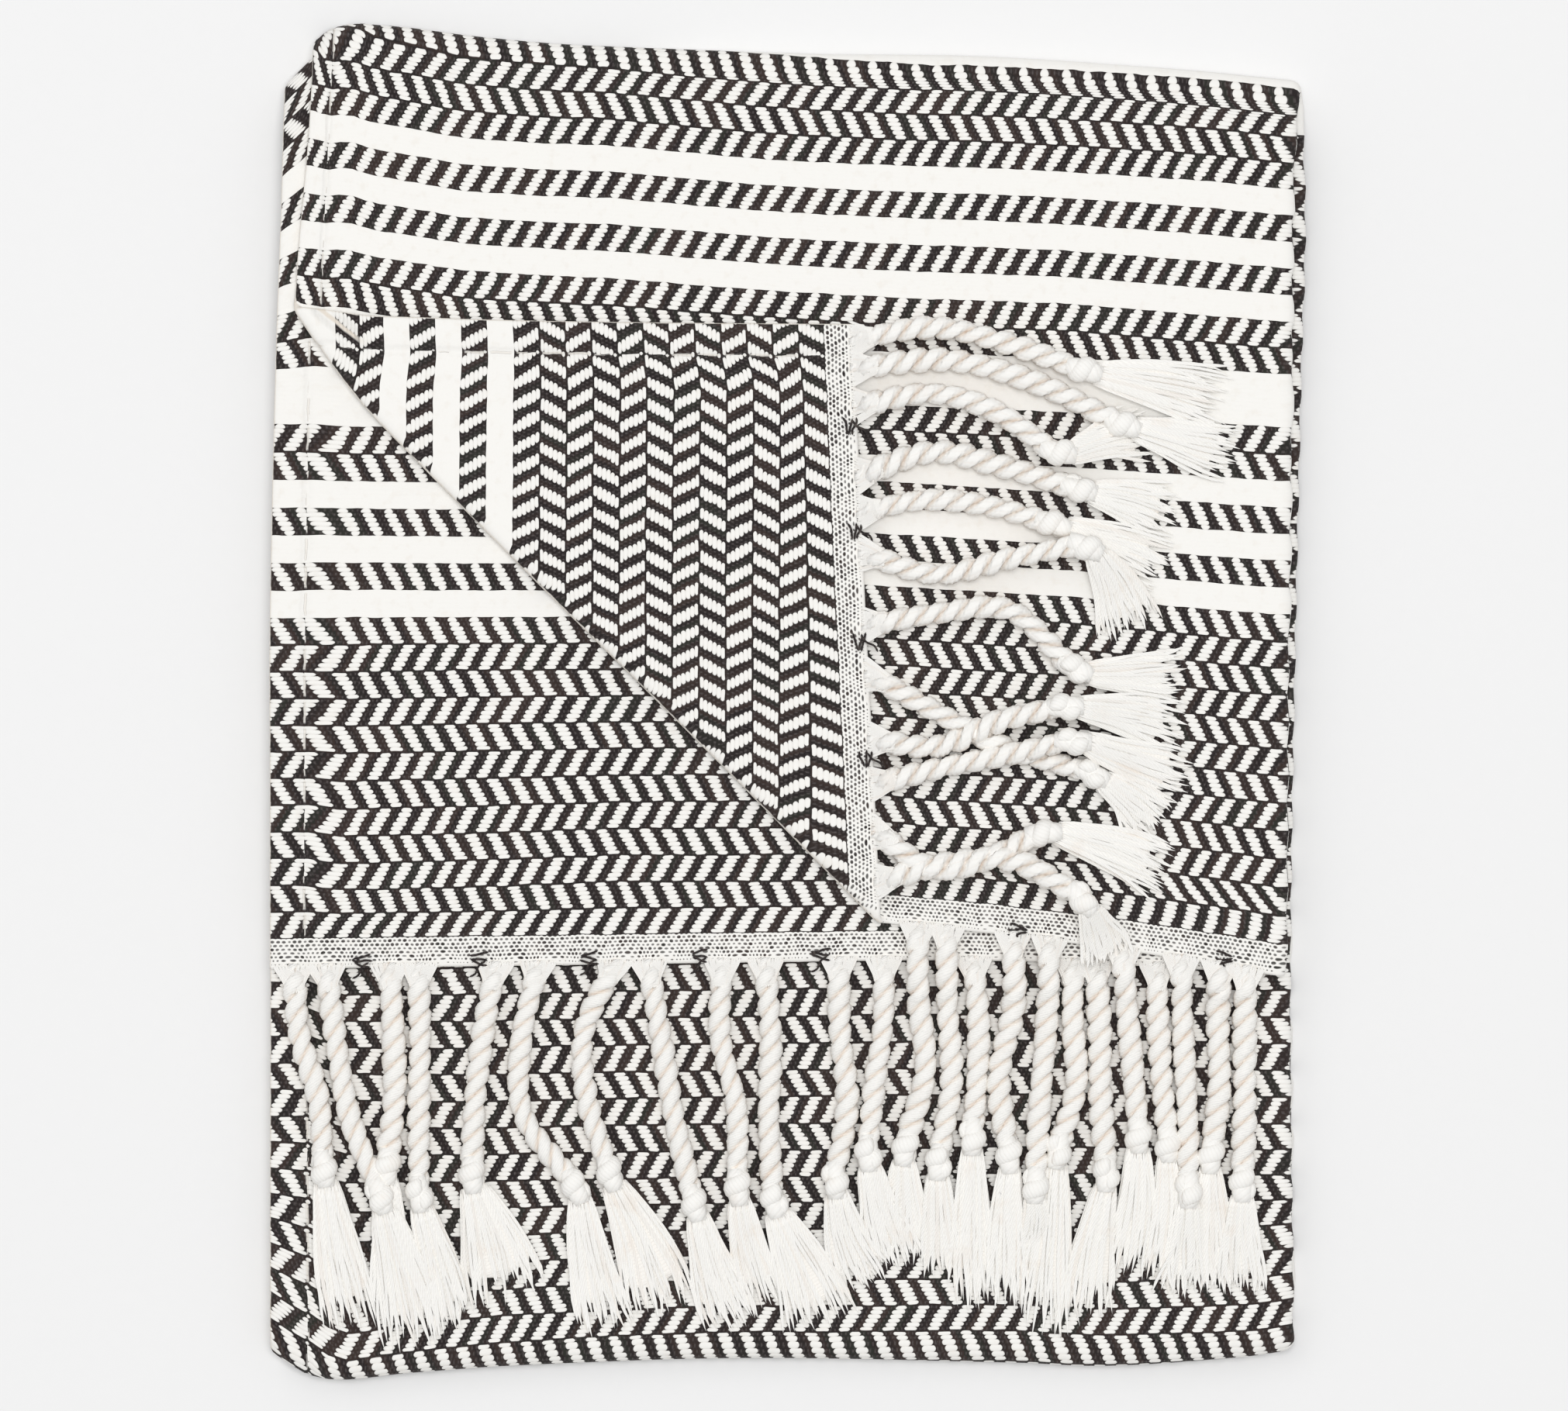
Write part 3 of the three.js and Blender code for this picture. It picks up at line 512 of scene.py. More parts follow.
def herringbone_material():
    """Charcoal and white herringbone in rows, with white rows, hems and dotted headings."""
    r = Recipe("herringbone_cotton")
    uv = r.add("ShaderNodeUVMap", {"uv_map": "Weave"}).outputs["UV"]
    split = r.add("ShaderNodeSeparateXYZ", Vector=uv)
    # painted highlight: a cream line along the hems' rims and the crest of the diagonal fold
    rim_highlight = r.add("ShaderNodeAttribute", {"attribute_name": "RimHighlight"}).outputs["Fac"]
    u = r.times(split.outputs["X"], 1000)
    v = r.times(split.outputs["Y"], 1000)
    loose = r.minus(r.cloudy(uv, 300), 0.5)
    u = r.plus(u, r.times(loose, 0.7))
    v = r.plus(v, r.times(r.minus(r.cloudy(uv, 170), 0.5), 0.7))

    from_end = r.minus(v, HEADING)
    rows_up = r.math("DIVIDE", from_end, ROW)
    row = r.math("FLOOR", rows_up)
    in_row = r.minus(rows_up, row)

    def is_white(which):
        """1 where that row is a plain white one, counted from the nearer end."""
        nearer = r.math("MINIMUM", which, r.minus(ROWS - 1, which))
        ramp = r.add("ShaderNodeValToRGB")
        ramp.color_ramp.interpolation = "CONSTANT"
        half = ROWS / 2 + 4
        marks = [(start / half, 1) for start, end in WHITE_ROWS]
        marks += [(end / half, 0) for start, end in WHITE_ROWS]
        ramp.color_ramp.elements.remove(ramp.color_ramp.elements[1])
        ramp.color_ramp.elements[0].position = 0
        ramp.color_ramp.elements[0].color = (0, 0, 0, 1)
        for position, value in sorted(marks):
            ramp.color_ramp.elements.new(position).color = (value, value, value, 1)
        r.feed(ramp.inputs["Fac"], r.math("DIVIDE", r.plus(nearer, 0.5), half))
        return ramp.outputs["Color"]

    white_row = is_white(row)
    later = r.math("GREATER_THAN", in_row, 0.5)
    beside = r.plus(row, r.minus(r.times(later, 2), 1))
    white_beside = is_white(beside)

    # Threads across: each bar is a column of short floats, so its sides are stepped
    thread_at = r.times(in_row, THREADS_PER_ROW)
    thread = r.math("FLOOR", thread_at)
    in_thread = r.math("ABSOLUTE", r.minus(r.minus(thread_at, thread), 0.5))
    climb = r.math("DIVIDE", r.plus(thread, 0.5), THREADS_PER_ROW)

    from_hem = r.math("MINIMUM", u, r.minus(WIDTH, u))
    in_hem = r.math("LESS_THAN", from_hem, HEM)
    shift = r.times(in_hem, HEM_BAR_SHIFT)

    odd = r.math("FLOORED_MODULO", row, 2)
    up_slant = r.times(climb, BAR_SHIFT)
    down_slant = r.minus(BAR_PITCH / 2 + BAR_SHIFT, up_slant)
    slant = r.either(up_slant, down_slant, odd)
    along = r.math("DIVIDE", r.minus(r.plus(u, shift), slant), BAR_PITCH)
    bar = r.math("ROUND", along)
    off_centre = r.times(r.math("ABSOLUTE", r.minus(along, bar)), BAR_PITCH)
    bar_name = r.add("ShaderNodeCombineXYZ", X=bar, Y=row)
    own = r.add("ShaderNodeTexWhiteNoise", Vector=bar_name.outputs[0])
    thread_name = r.add("ShaderNodeCombineXYZ", X=bar, Y=row, Z=thread)
    own_thread = r.add("ShaderNodeTexWhiteNoise", Vector=thread_name.outputs[0])

    from_row_end = r.times(r.math("MINIMUM", in_row, r.minus(1, in_row)), ROW)
    corner = r.math("MAXIMUM", r.minus(1, r.math("DIVIDE", from_row_end, 0.8)), 0)
    rounded = r.minus(1, r.times(r.math("POWER", corner, 2), 0.30))
    flare = r.math("MAXIMUM", r.minus(1, r.math("DIVIDE", from_row_end, 1.1)), 0)
    flared = r.minus(1, r.times(flare, 0.45))
    rounded = r.either(rounded, flared, white_beside)
    scallop = r.minus(1.11, r.times(r.math("POWER", in_thread, 2), 1.3))
    scallop = r.plus(scallop, r.times(r.minus(own_thread.outputs["Value"], 0.5), 0.22))
    half_width = r.times(r.times(rounded, scallop), BAR_PITCH / 4)
    bar_white = r.rise(r.minus(half_width, off_centre), -0.11, 0.11)
    gap_height = r.plus(0.10, r.times(own_thread.outputs["Value"], 0.16))
    row_gap = r.rise(r.minus(gap_height, from_row_end), -0.06, 0.06)
    bar_white = r.times(bar_white, r.minus(1, r.times(row_gap, r.minus(1, white_beside))))
    soft_white = r.rise(r.minus(half_width, off_centre), -0.5, 0.5)

    # The dotted headings at both ends, drawn together where the fringe leaves them
    band = r.math("MINIMUM", v, r.minus(LENGTH, v))
    in_band = r.math("LESS_THAN", band, HEADING)
    gather = r.times(r.math("SINE", r.times(u, 2 * math.pi / GATHER_PITCH)), r.rise(band, 5.5, 0.0))
    dot_row = r.math("DIVIDE", band, DOT_ROW)
    dot_line = r.math("ROUND", dot_row)
    dot_shift = r.times(r.math("FLOORED_MODULO", dot_line, 2), 0.5)
    dot_at = r.plus(r.math("DIVIDE", r.plus(u, r.times(gather, 0.9)), DOT_PITCH), dot_shift)
    dot_lane = r.math("ROUND", dot_at)
    across = r.math("DIVIDE", r.times(r.minus(dot_at, dot_lane), DOT_PITCH), DOT_STRETCH)
    away = r.times(r.minus(dot_row, dot_line), DOT_ROW)
    from_dot = r.math("SQRT", r.plus(r.times(across, across), r.times(away, away)))
    dot_name = r.add("ShaderNodeCombineXYZ", X=dot_lane, Y=dot_line, Z=3.0)
    dot_own = r.add("ShaderNodeTexWhiteNoise", Vector=dot_name.outputs[0]).outputs["Value"]
    dot_size = r.times(r.rise(band, -0.6, 2.4), r.plus(0.21, r.times(dot_own, 0.14)))
    dot = r.rise(r.minus(dot_size, from_dot), -0.07, 0.09)
    dot = r.times(dot, r.plus(0.72, r.times(dot_own, 0.28)))

    white = r.math("MAXIMUM", bar_white, white_row)
    white = r.either(white, r.minus(1, dot), in_band)
    raised = r.math("MAXIMUM", soft_white, white_row)
    raised = r.either(raised, 1, in_band)

    # Stitches along the hems: short loops in a shallow crease
    from_line = r.math("ABSOLUTE", r.minus(from_hem, HEM))
    stitch_end = r.math("ABSOLUTE", r.minus(in_row, 0.5))
    stitch = r.times(r.rise(r.minus(0.24, from_line), -0.08, 0.08),
                     r.rise(r.minus(0.4, stitch_end), -0.05, 0.05))
    stitch = r.times(stitch, r.rise(own.outputs["Value"], 0.2, 0.5))

    # A crease across the white rows at the end of the turned corner's hem: painted tan shade in it,
    # and a dip in the relief beside it
    from_open = r.minus(WIDTH, u)
    above = r.minus(v, CREASE_FROM_V)
    along_crease = r.minus(r.times(from_open, CREASE_SIN), r.times(above, CREASE_COS))
    off_crease = r.plus(r.times(from_open, CREASE_COS), r.times(above, CREASE_SIN))
    off_crease = r.math("ABSOLUTE", off_crease)
    at_crease = r.times(r.rise(along_crease, -3, 0), r.rise(along_crease, 13, 9))
    crease_shade = r.times(r.rise(off_crease, 0.75, 0.2), at_crease)
    beside_crease = r.times(r.rise(off_crease, 2.8, 0.2), at_crease)

    # Colours: each bar of its own shade, threads slightly uneven, with painted shade in the gaps
    # between threads
    fine = r.cloudy(uv, 1500)
    mottled = r.cloudy(uv, 420, 3)
    dark = r.tint(CHARCOAL, CHARCOAL_BROWN, r.rise(own.outputs["Value"], 0.35, 1.0))
    dark = r.tint(dark, CHARCOAL_GREEN, r.rise(own.outputs["Value"], 0.3, 0.0))
    flecks = r.math("SINE", r.plus(r.times(u, 2 * math.pi / 0.98), r.times(thread, math.pi)))
    flecks = r.times(r.rise(flecks, 0.1, 0.9), r.rise(in_thread, 0.42, 0.12))
    flecks = r.plus(r.times(flecks, 0.55), r.times(r.rise(fine, 0.5, 0.85), 0.7))
    dark = r.tint(dark, CHARCOAL_FLECK, r.math("MINIMUM", flecks, 1))
    in_stripe = r.math("MAXIMUM", white_row, in_band)
    # painted shade: a cream tint in the gaps between thread floats, outside the plain stripes
    thread_gap_shade = r.times(r.rise(in_thread, 0.32, 0.5), r.minus(1, in_stripe))
    warm = r.plus(r.times(thread_gap_shade, 0.16), r.times(r.rise(mottled, 0.5, 0.78), 0.22))
    warm = r.plus(warm, r.times(stitch, 0.35))
    # painted shade in the crease by the turned corner's hem
    warm = r.plus(warm, r.times(crease_shade, 0.9))
    # painted highlight along the rolled rims, cream over white and charcoal alike
    warm = r.plus(warm, r.times(rim_highlight, r.plus(0.55, r.times(mottled, 0.5))))
    # the cream tint holds real mottling and stitches, plus painted shade in thread gaps and the
    # crease, and the painted rim highlight
    light = r.tint(COTTON_WHITE, COTTON_CREAM, r.math("MINIMUM", warm, 1))
    shown = r.math("MAXIMUM", white, r.times(stitch, 0.8))
    shown = r.math("MAXIMUM", shown, crease_shade)
    shown = r.math("MAXIMUM", shown, r.rise(r.plus(rim_highlight, r.times(loose, 0.8)), 0.35, 0.7))
    colour = r.tint(dark, light, shown)

    # Relief in millimetres
    float_round = r.times(r.minus(1, r.times(r.math("POWER", in_thread, 2), 4)), 0.09)
    float_round = r.times(float_round, r.minus(1, r.times(in_stripe, 0.8)))
    relief = r.plus(r.times(raised, 0.16), float_round)
    relief = r.plus(relief, r.times(fine, 0.05))
    relief = r.plus(relief, r.times(mottled, 0.10))
    relief = r.plus(relief, r.times(stitch, 0.15))
    relief = r.minus(relief, r.times(r.rise(r.minus(0.8, from_line), -0.6, 0.8), 0.22))
    relief = r.minus(relief, r.times(beside_crease, 0.9))
    return r.cloth_surface(colour, relief, 0.92, 0.03)


def fringe_material(name, twists_per_mm):
    """White cotton yarn: fine slanted fibres, with painted tan shade where plies and yarns lie
    deep, in grooves and on undersides, and tan in random patches and yarns.
    """
    r = Recipe(name)
    uv = r.add("ShaderNodeUVMap", {"uv_map": "Twist"}).outputs["UV"]
    split = r.add("ShaderNodeSeparateXYZ", Vector=uv)
    around = r.math("FRACT", split.outputs["X"])
    along = split.outputs["Y"]
    shade_and_tone = r.add("ShaderNodeUVMap", {"uv_map": "Tone"}).outputs["UV"]
    tone_split = r.add("ShaderNodeSeparateXYZ", Vector=shade_and_tone)
    deep, chance = tone_split.outputs["X"], tone_split.outputs["Y"]

    turn = r.plus(r.times(around, 6), r.times(along, twists_per_mm))
    strand = r.math("ABSOLUTE", r.minus(r.math("FRACT", turn), 0.5))
    spots = r.add("ShaderNodeTexCoord").outputs["Object"]
    fuzz = r.cloudy(spots, 1700, 3)
    patchy = r.cloudy(spots, 160, 3)

    under = r.add("ShaderNodeAttribute", {"attribute_name": "UndersideShade"}).outputs["Fac"]
    # painted shade: tan in the groove where the two plies meet, scaled by how deep the piece lies
    inner = r.rise(r.math("ABSOLUTE", r.minus(around, 0.5)), 0.25, 0.14)
    tan = r.times(r.times(inner, deep), r.plus(0.06, r.times(patchy, 0.28)))
    # painted shade: tan on the sides and undersides that face away from above, scaled by depth
    tan = r.plus(tan, r.times(r.times(under, deep), r.plus(0.05, r.times(patchy, 0.55))))
    tan = r.plus(tan, r.times(r.rise(patchy, 0.56, 0.75), 0.12))
    # a high chance gives tan: random tone for a few yarns, and painted shade for the tassel core
    # seen between yarns
    tan = r.plus(tan, r.times(r.rise(chance, 0.8, 1.0), 0.14))
    # painted shade: thin tan lines in the grooves between twisted fibre strands
    tan = r.plus(tan, r.times(r.rise(strand, 0.36, 0.5), 0.08))
    colour = r.tint(FRINGE_WHITE, FRINGE_TAN, r.math("MINIMUM", tan, 1))
    relief = r.plus(r.times(r.rise(strand, 0.5, 0.2), 0.05), r.times(fuzz, 0.07))
    return r.cloth_surface(colour, relief, 0.95, 0.05)


def charcoal_thread_material():
    """The loose charcoal thread ends that cross the headings."""
    r = Recipe("charcoal_thread")
    spots = r.add("ShaderNodeTexCoord").outputs["Object"]
    fuzz = r.cloudy(spots, 1600, 3)
    colour = r.tint(CHARCOAL, CHARCOAL_FUZZ, r.rise(fuzz, 0.45, 0.8))
    return r.cloth_surface(colour, r.times(fuzz, 0.08), 0.95, 0.1)


# ---- The cloth, one sheet through all its folds ----
CELL_ACROSS = 124
CELLS_PER_ROW = 2
FOLD_CELLS = 8
FOLD_LINES = ((184, 203), (469.5, 482))
FOLD_LINE_EVERY = 0.8
SIDE_INSETS = (0.35, 1.1, 6.2, HEM, 7.8)
SIDE_HALVES = (0.34, 0.66, 0.82, 0.82, 0.56, 0.66)
END_INSETS = (0.6, 1.6)
END_HALVES = (0.3, 0.55, 0.85)
TOP_TO_V = 205
BARED_TO_V = 150
LOWER_FROM_V, LOWER_TO_V = 330, 482
CREST_FROM_V, CREST_TO_V = 186.5, 191
FLAP_SIN, FLAP_COS = 0.054, 0.9986
RIM_AT, RIM_HALF = 1.86, 0.3


def cut_line(bm, point, normal):
    """A mesh line across the flat cloth, through a point and square to a normal."""
    everything = bm.verts[:] + bm.edges[:] + bm.faces[:]
    bmesh.ops.bisect_plane(
        bm, geom=everything, dist=0.01, plane_co=(*point, 0), plane_no=(*normal, 0)
    )


def cloth_half_thickness(u, v):
    """Half the cloth's thickness: folded hems are thicker, edges are rounded."""
    from_side = np.minimum(u, WIDTH - u)
    from_end = np.minimum(v, LENGTH - v)
    half = np.interp(from_side, [0, *SIDE_INSETS], SIDE_HALVES)
    return np.minimum(half, np.interp(from_end, [0, *END_INSETS], END_HALVES))


def read_drift(table, name, x, y):
    """A drift table read at places of the pile, evenly between its marks."""
    columns_at = np.array(table["x"])
    rows_at = np.array(table["y"])[::-1]
    values = np.array(table[name])[::-1]
    i = np.clip(np.searchsorted(columns_at, x) - 1, 0, len(columns_at) - 2)
    j = np.clip(np.searchsorted(rows_at, y) - 1, 0, len(rows_at) - 2)
    s = np.clip((x - columns_at[i]) / (columns_at[i + 1] - columns_at[i]), 0, 1)
    t = np.clip((y - rows_at[j]) / (rows_at[j + 1] - rows_at[j]), 0, 1)
    low = mix(values[j, i], values[j, i + 1], s)
    return mix(low, mix(values[j + 1, i], values[j + 1, i + 1], s), t)


def strayed_weave(u, v, side, spots):
    """The weave's own place at each point: the flat place moved by the drift of its rows."""
    x, y = spots[:, 0], spots[:, 1]
    past = past_diagonal(u, v)
    flap = (past > 0) & (side < 0)
    top = (past <= 0) & (side > 0) & (u < SIDE_FOLD_U) & (v < TOP_TO_V)
    bared = (side < 0) & (u > SIDE_FOLD_U) & (v < BARED_TO_V)
    lower = (side > 0) & (u > SIDE_FOLD_U) & (v > LOWER_FROM_V) & (v < LOWER_TO_V)
    calm = ease(HEM, 2 * HEM, np.minimum(u, WIDTH - u)) * ease(HEADING, 3 * HEADING, v)
    du, dv = np.zeros(len(u)), np.zeros(len(u))
    for place_here, table, turn in (
        (top, TOP_DRIFT, ((-1, 0), (0, -1))),
        (lower, LOWER_DRIFT, ((1, 0), (0, 1))),
        (bared, BARED_DRIFT, ((1, 0), (0, -1))),
        (flap, FLAP_DRIFT, ((-FLAP_SIN, FLAP_COS), (FLAP_COS, FLAP_SIN))),
    ):
        across = read_drift(table, "across", x, y)
        up = read_drift(table, "up", x, y)
        du = np.where(place_here, turn[0][0] * across + turn[0][1] * up, du)
        dv = np.where(place_here, turn[1][0] * across + turn[1][1] * up, dv)
    crest = np.interp(x, [-85, 2, 95], [0.5, 1.9, 2.4]) * ease(CREST_FROM_V, CREST_TO_V, v)
    return u + du * calm, v + dv * calm + np.where(top, crest, 0)


def painted_rim_highlight(u, v, side):
    """Painted highlight, a cream line where the cloth rolls over: along the hems' rims and the
    crest of the diagonal fold.
    """
    from_side = np.minimum(u, WIDTH - u)
    at_rim = np.abs(past_diagonal(u, v) - RIM_AT) < RIM_HALF
    crest = np.where(at_rim & (side < 0), 0.7, 0)
    return np.maximum(np.where(from_side < 0.2, 0.9, 0), crest)


def towel_cloth():
    bm = bmesh.new()
    cells_along = CELLS_PER_ROW * ROWS
    bmesh.ops.create_grid(bm, x_segments=CELL_ACROSS, y_segments=cells_along, size=0.5)
    for vert in bm.verts:
        vert.co.x = (vert.co.x + 0.5) * WIDTH
        vert.co.y = (vert.co.y + 0.5) * LENGTH
    for inset in SIDE_INSETS:
        cut_line(bm, (inset, 0), (1, 0))
        cut_line(bm, (WIDTH - inset, 0), (1, 0))
    for inset in END_INSETS:
        cut_line(bm, (0, inset), (0, 1))
        cut_line(bm, (0, LENGTH - inset), (0, 1))
    for k in range(FOLD_CELLS + 1):
        cut_line(bm, (UPPER_WIDTH + TURN_ARC * k / FOLD_CELLS, 0), (1, 0))
    diagonal = Vector((1 / CORNER_ON_END, 1 / CORNER_ON_HEM)).normalized()
    for k in range(FOLD_CELLS + 1):
        past = TURN_ARC * k / FOLD_CELLS
        cut_line(bm, Vector((CORNER_ON_END, 0)) - diagonal * past, diagonal)
    for start, end in FOLD_LINES:
        for v in np.arange(start, end, FOLD_LINE_EVERY):
            cut_line(bm, (0, v), (0, 1))
    bmesh.ops.solidify(bm, geom=bm.faces[:], thickness=PLY)

    flat = np.array([vert.co for vert in bm.verts])
    u, v = flat[:, 0], flat[:, 1]
    side = np.where(flat[:, 2] > flat[:, 2].mean(), 1, -1)
    spots = place(u, v, side * cloth_half_thickness(u, v))
    woven = np.stack(strayed_weave(u, v, side, spots), axis=-1)

    bm.normal_update()
    bm.verts.index_update()
    weave = bm.loops.layers.uv.new("Weave")
    for face in bm.faces:
        back = face.normal.z < -0.5
        for loop in face.loops:
            woven_u, woven_v = woven[loop.vert.index]
            loop[weave].uv = ((WIDTH - woven_u) * MM if back else woven_u * MM, woven_v * MM)

    # painted highlight along the hems' rims and the diagonal fold's crest, kept at each point
    rim_highlight = bm.verts.layers.float.new("RimHighlight")
    for vert, spot, shade in zip(bm.verts, spots, painted_rim_highlight(u, v, side)):
        vert.co = spot
        vert[rim_highlight] = shade
    return finish_piece("towel_cloth", bm, herringbone_material())


# ---- Tubes: plies, knot wraps and loose yarns ----
UP = Vector((0, 0, 1))


def smooth_line(points, spacing):
    """Evenly spaced points on a smooth curve through the given ones."""
    whole = [2 * points[0] - points[1], *points, 2 * points[-1] - points[-2]]
    dense = []
    for p0, p1, p2, p3 in zip(whole, whole[1:], whole[2:], whole[3:]):
        for k in range(24):
            t = k / 24
            a = 2 * p0 - 5 * p1 + 4 * p2 - p3
            b = 3 * p1 - p0 - 3 * p2 + p3
            dense.append((2 * p1 + (p2 - p0) * t + a * t * t + b * t**3) / 2)
    dense.append(points[-1])
    dense = np.array(dense)
    travelled = np.concatenate([[0], np.cumsum(np.linalg.norm(np.diff(dense, axis=0), axis=1))])
    count = max(round(travelled[-1] / spacing), 2)
    marks = np.linspace(0, travelled[-1], count + 1)
    return [Vector([np.interp(mark, travelled, dense[:, k]) for k in range(3)]) for mark in marks]


class FringeMesh:
    """A bmesh that tubes are added to, with their twist on one UV map and, on a second, how deep
    they lie for painted shade and a chance for random tone.
    """

    def __init__(self):
        self.bm = bmesh.new()
        self.twist = self.bm.loops.layers.uv.new("Twist")
        self.shade_and_tone = self.bm.loops.layers.uv.new("Tone")
        self.count = 0

    def tube(self, rings, around, length, deep=0.0, chance=0.0, turned=0.0):
        """A closed tube through rings, each a (centre, out, over) of its middle and half axes."""
        made = bmesh.ops.create_grid(
            self.bm, x_segments=around, y_segments=len(rings) - 1, size=0.5
        )["verts"]
        self.count += 1
        grid = {}
        for vert in made:
            column = round((vert.co.x + 0.5) * around)
            level = round((vert.co.y + 0.5) * (len(rings) - 1))
            grid[vert] = (column, level)
            angle = 2 * math.pi * (column % around) / around + turned
            centre, out, over = rings[level]
            vert.co = centre + out * math.cos(angle) + over * math.sin(angle)
        for face in {face for vert in made for face in vert.link_faces}:
            for loop in face.loops:
                column, level = grid[loop.vert]
                share = min(max(column / around, 0.001), 0.999)
                loop[self.twist].uv = (self.count + share, length * level / (len(rings) - 1))
                loop[self.shade_and_tone].uv = (deep, chance)

    def done(self, name, material, smooth=True):
        bmesh.ops.remove_doubles(self.bm, verts=self.bm.verts, dist=1e-5)
        bmesh.ops.recalc_face_normals(self.bm, faces=self.bm.faces)
        # painted shade: how far each point faces away from above, for a tan on sides and undersides
        underside_shade = self.bm.verts.layers.float.new("UndersideShade")
        for vert in self.bm.verts:
            vert[underside_shade] = float(ease(0.5, -0.2, vert.normal.z))
        return finish_piece(name, self.bm, material, smooth)


def axes_at(line, i):
    """The direction of a line at one of its points, its level sideways direction and the third."""
    ahead = (line[min(i + 1, len(line) - 1)] - line[max(i - 1, 0)]).normalized()
    side = ahead.cross(UP).normalized()
    return ahead, side, side.cross(ahead)


def twisted_cord(mesh, line, hand, phase, stout):
    """Two plies twisted round one another along a line."""
    length = sum((b - a).length for a, b in zip(line, line[1:]))
    every = length / (len(line) - 1)
    for ply in (0, 1):
        rings = []
        for i, spot in enumerate(line):
            _, side, over = axes_at(line, i)
            angle = phase + math.pi * ply + hand * 2 * math.pi * i * every / CORD_PITCH
            out = side * math.cos(angle) + over * math.sin(angle)
            cross = over * math.cos(angle) - side * math.sin(angle)
            at = i * every
            full = max(0.55, float(ease(0, 3.5, at)))
            full *= float(0.75 + 0.25 * ease(0, 2, (len(line) - 1 - i) * every))
            full *= stout * (1 + 0.05 * math.sin(phase * 5 + at / 3.7) + 0.04 * math.sin(at * 1.3))
            centre = spot + out * PLY_OFFSET * full
            rings.append((centre, out * PLY_THICK * full, cross * PLY_WIDE * full))
        rings.insert(0, (rings[0][0], Vector(), Vector()))
        rings.append((rings[-1][0], Vector(), Vector()))
        # deep 1: the plies take the full painted shade in their groove and underside
        mesh.tube(rings, CORD_SIDES, length, deep=1.0)


def knot(mesh, centre, ahead, hand, chance):
    """An overhand knot: one fat slanting turn of cord round the bunched strand."""
    side = ahead.cross(UP).normalized()
    over = side.cross(ahead)
    rings = []
    for k in range(KNOT_STEPS + 1):
        share = k / KNOT_STEPS
        angle = hand * 2 * math.pi * (KNOT_TURNS * share + chance)
        out = side * math.cos(angle) + over * math.sin(angle)
        ending = float(ease(0, 0.15, share) * ease(1, 0.85, share))
        spot = centre + ahead * mix(-2.0, 2.0, share) + out * mix(0.4, 1.55, ending)
        size = 0.0
        if 0 < k < KNOT_STEPS:
            size = float(ease(-0.02, 0.1, share) * ease(1.02, 0.9, share))
        rings.append((spot, out * 1.6 * size, ahead * 2.15 * size))
    mesh.tube(rings, KNOT_SIDES, KNOT_WRAP_LENGTH, deep=0.6, chance=0.2)
    core = []
    for share, size in KNOT_CORE:
        core.append((centre + ahead * 4.2 * share, side * size, over * size))
    mesh.tube(core, KNOT_SIDES, KNOT_CORE_LENGTH)


def yarn(mesh, line, radius, chance=0.0):
    rings = []
    for i, spot in enumerate(line):
        _, side, over = axes_at(line, i)
        size = 0.0 if i in (0, len(line) - 1) else radius
        rings.append((spot, side * size * 1.15, over * size))
    mesh.tube(rings, YARN_SIDES, YARN_LENGTH, chance=chance, turned=math.pi / YARN_SIDES)


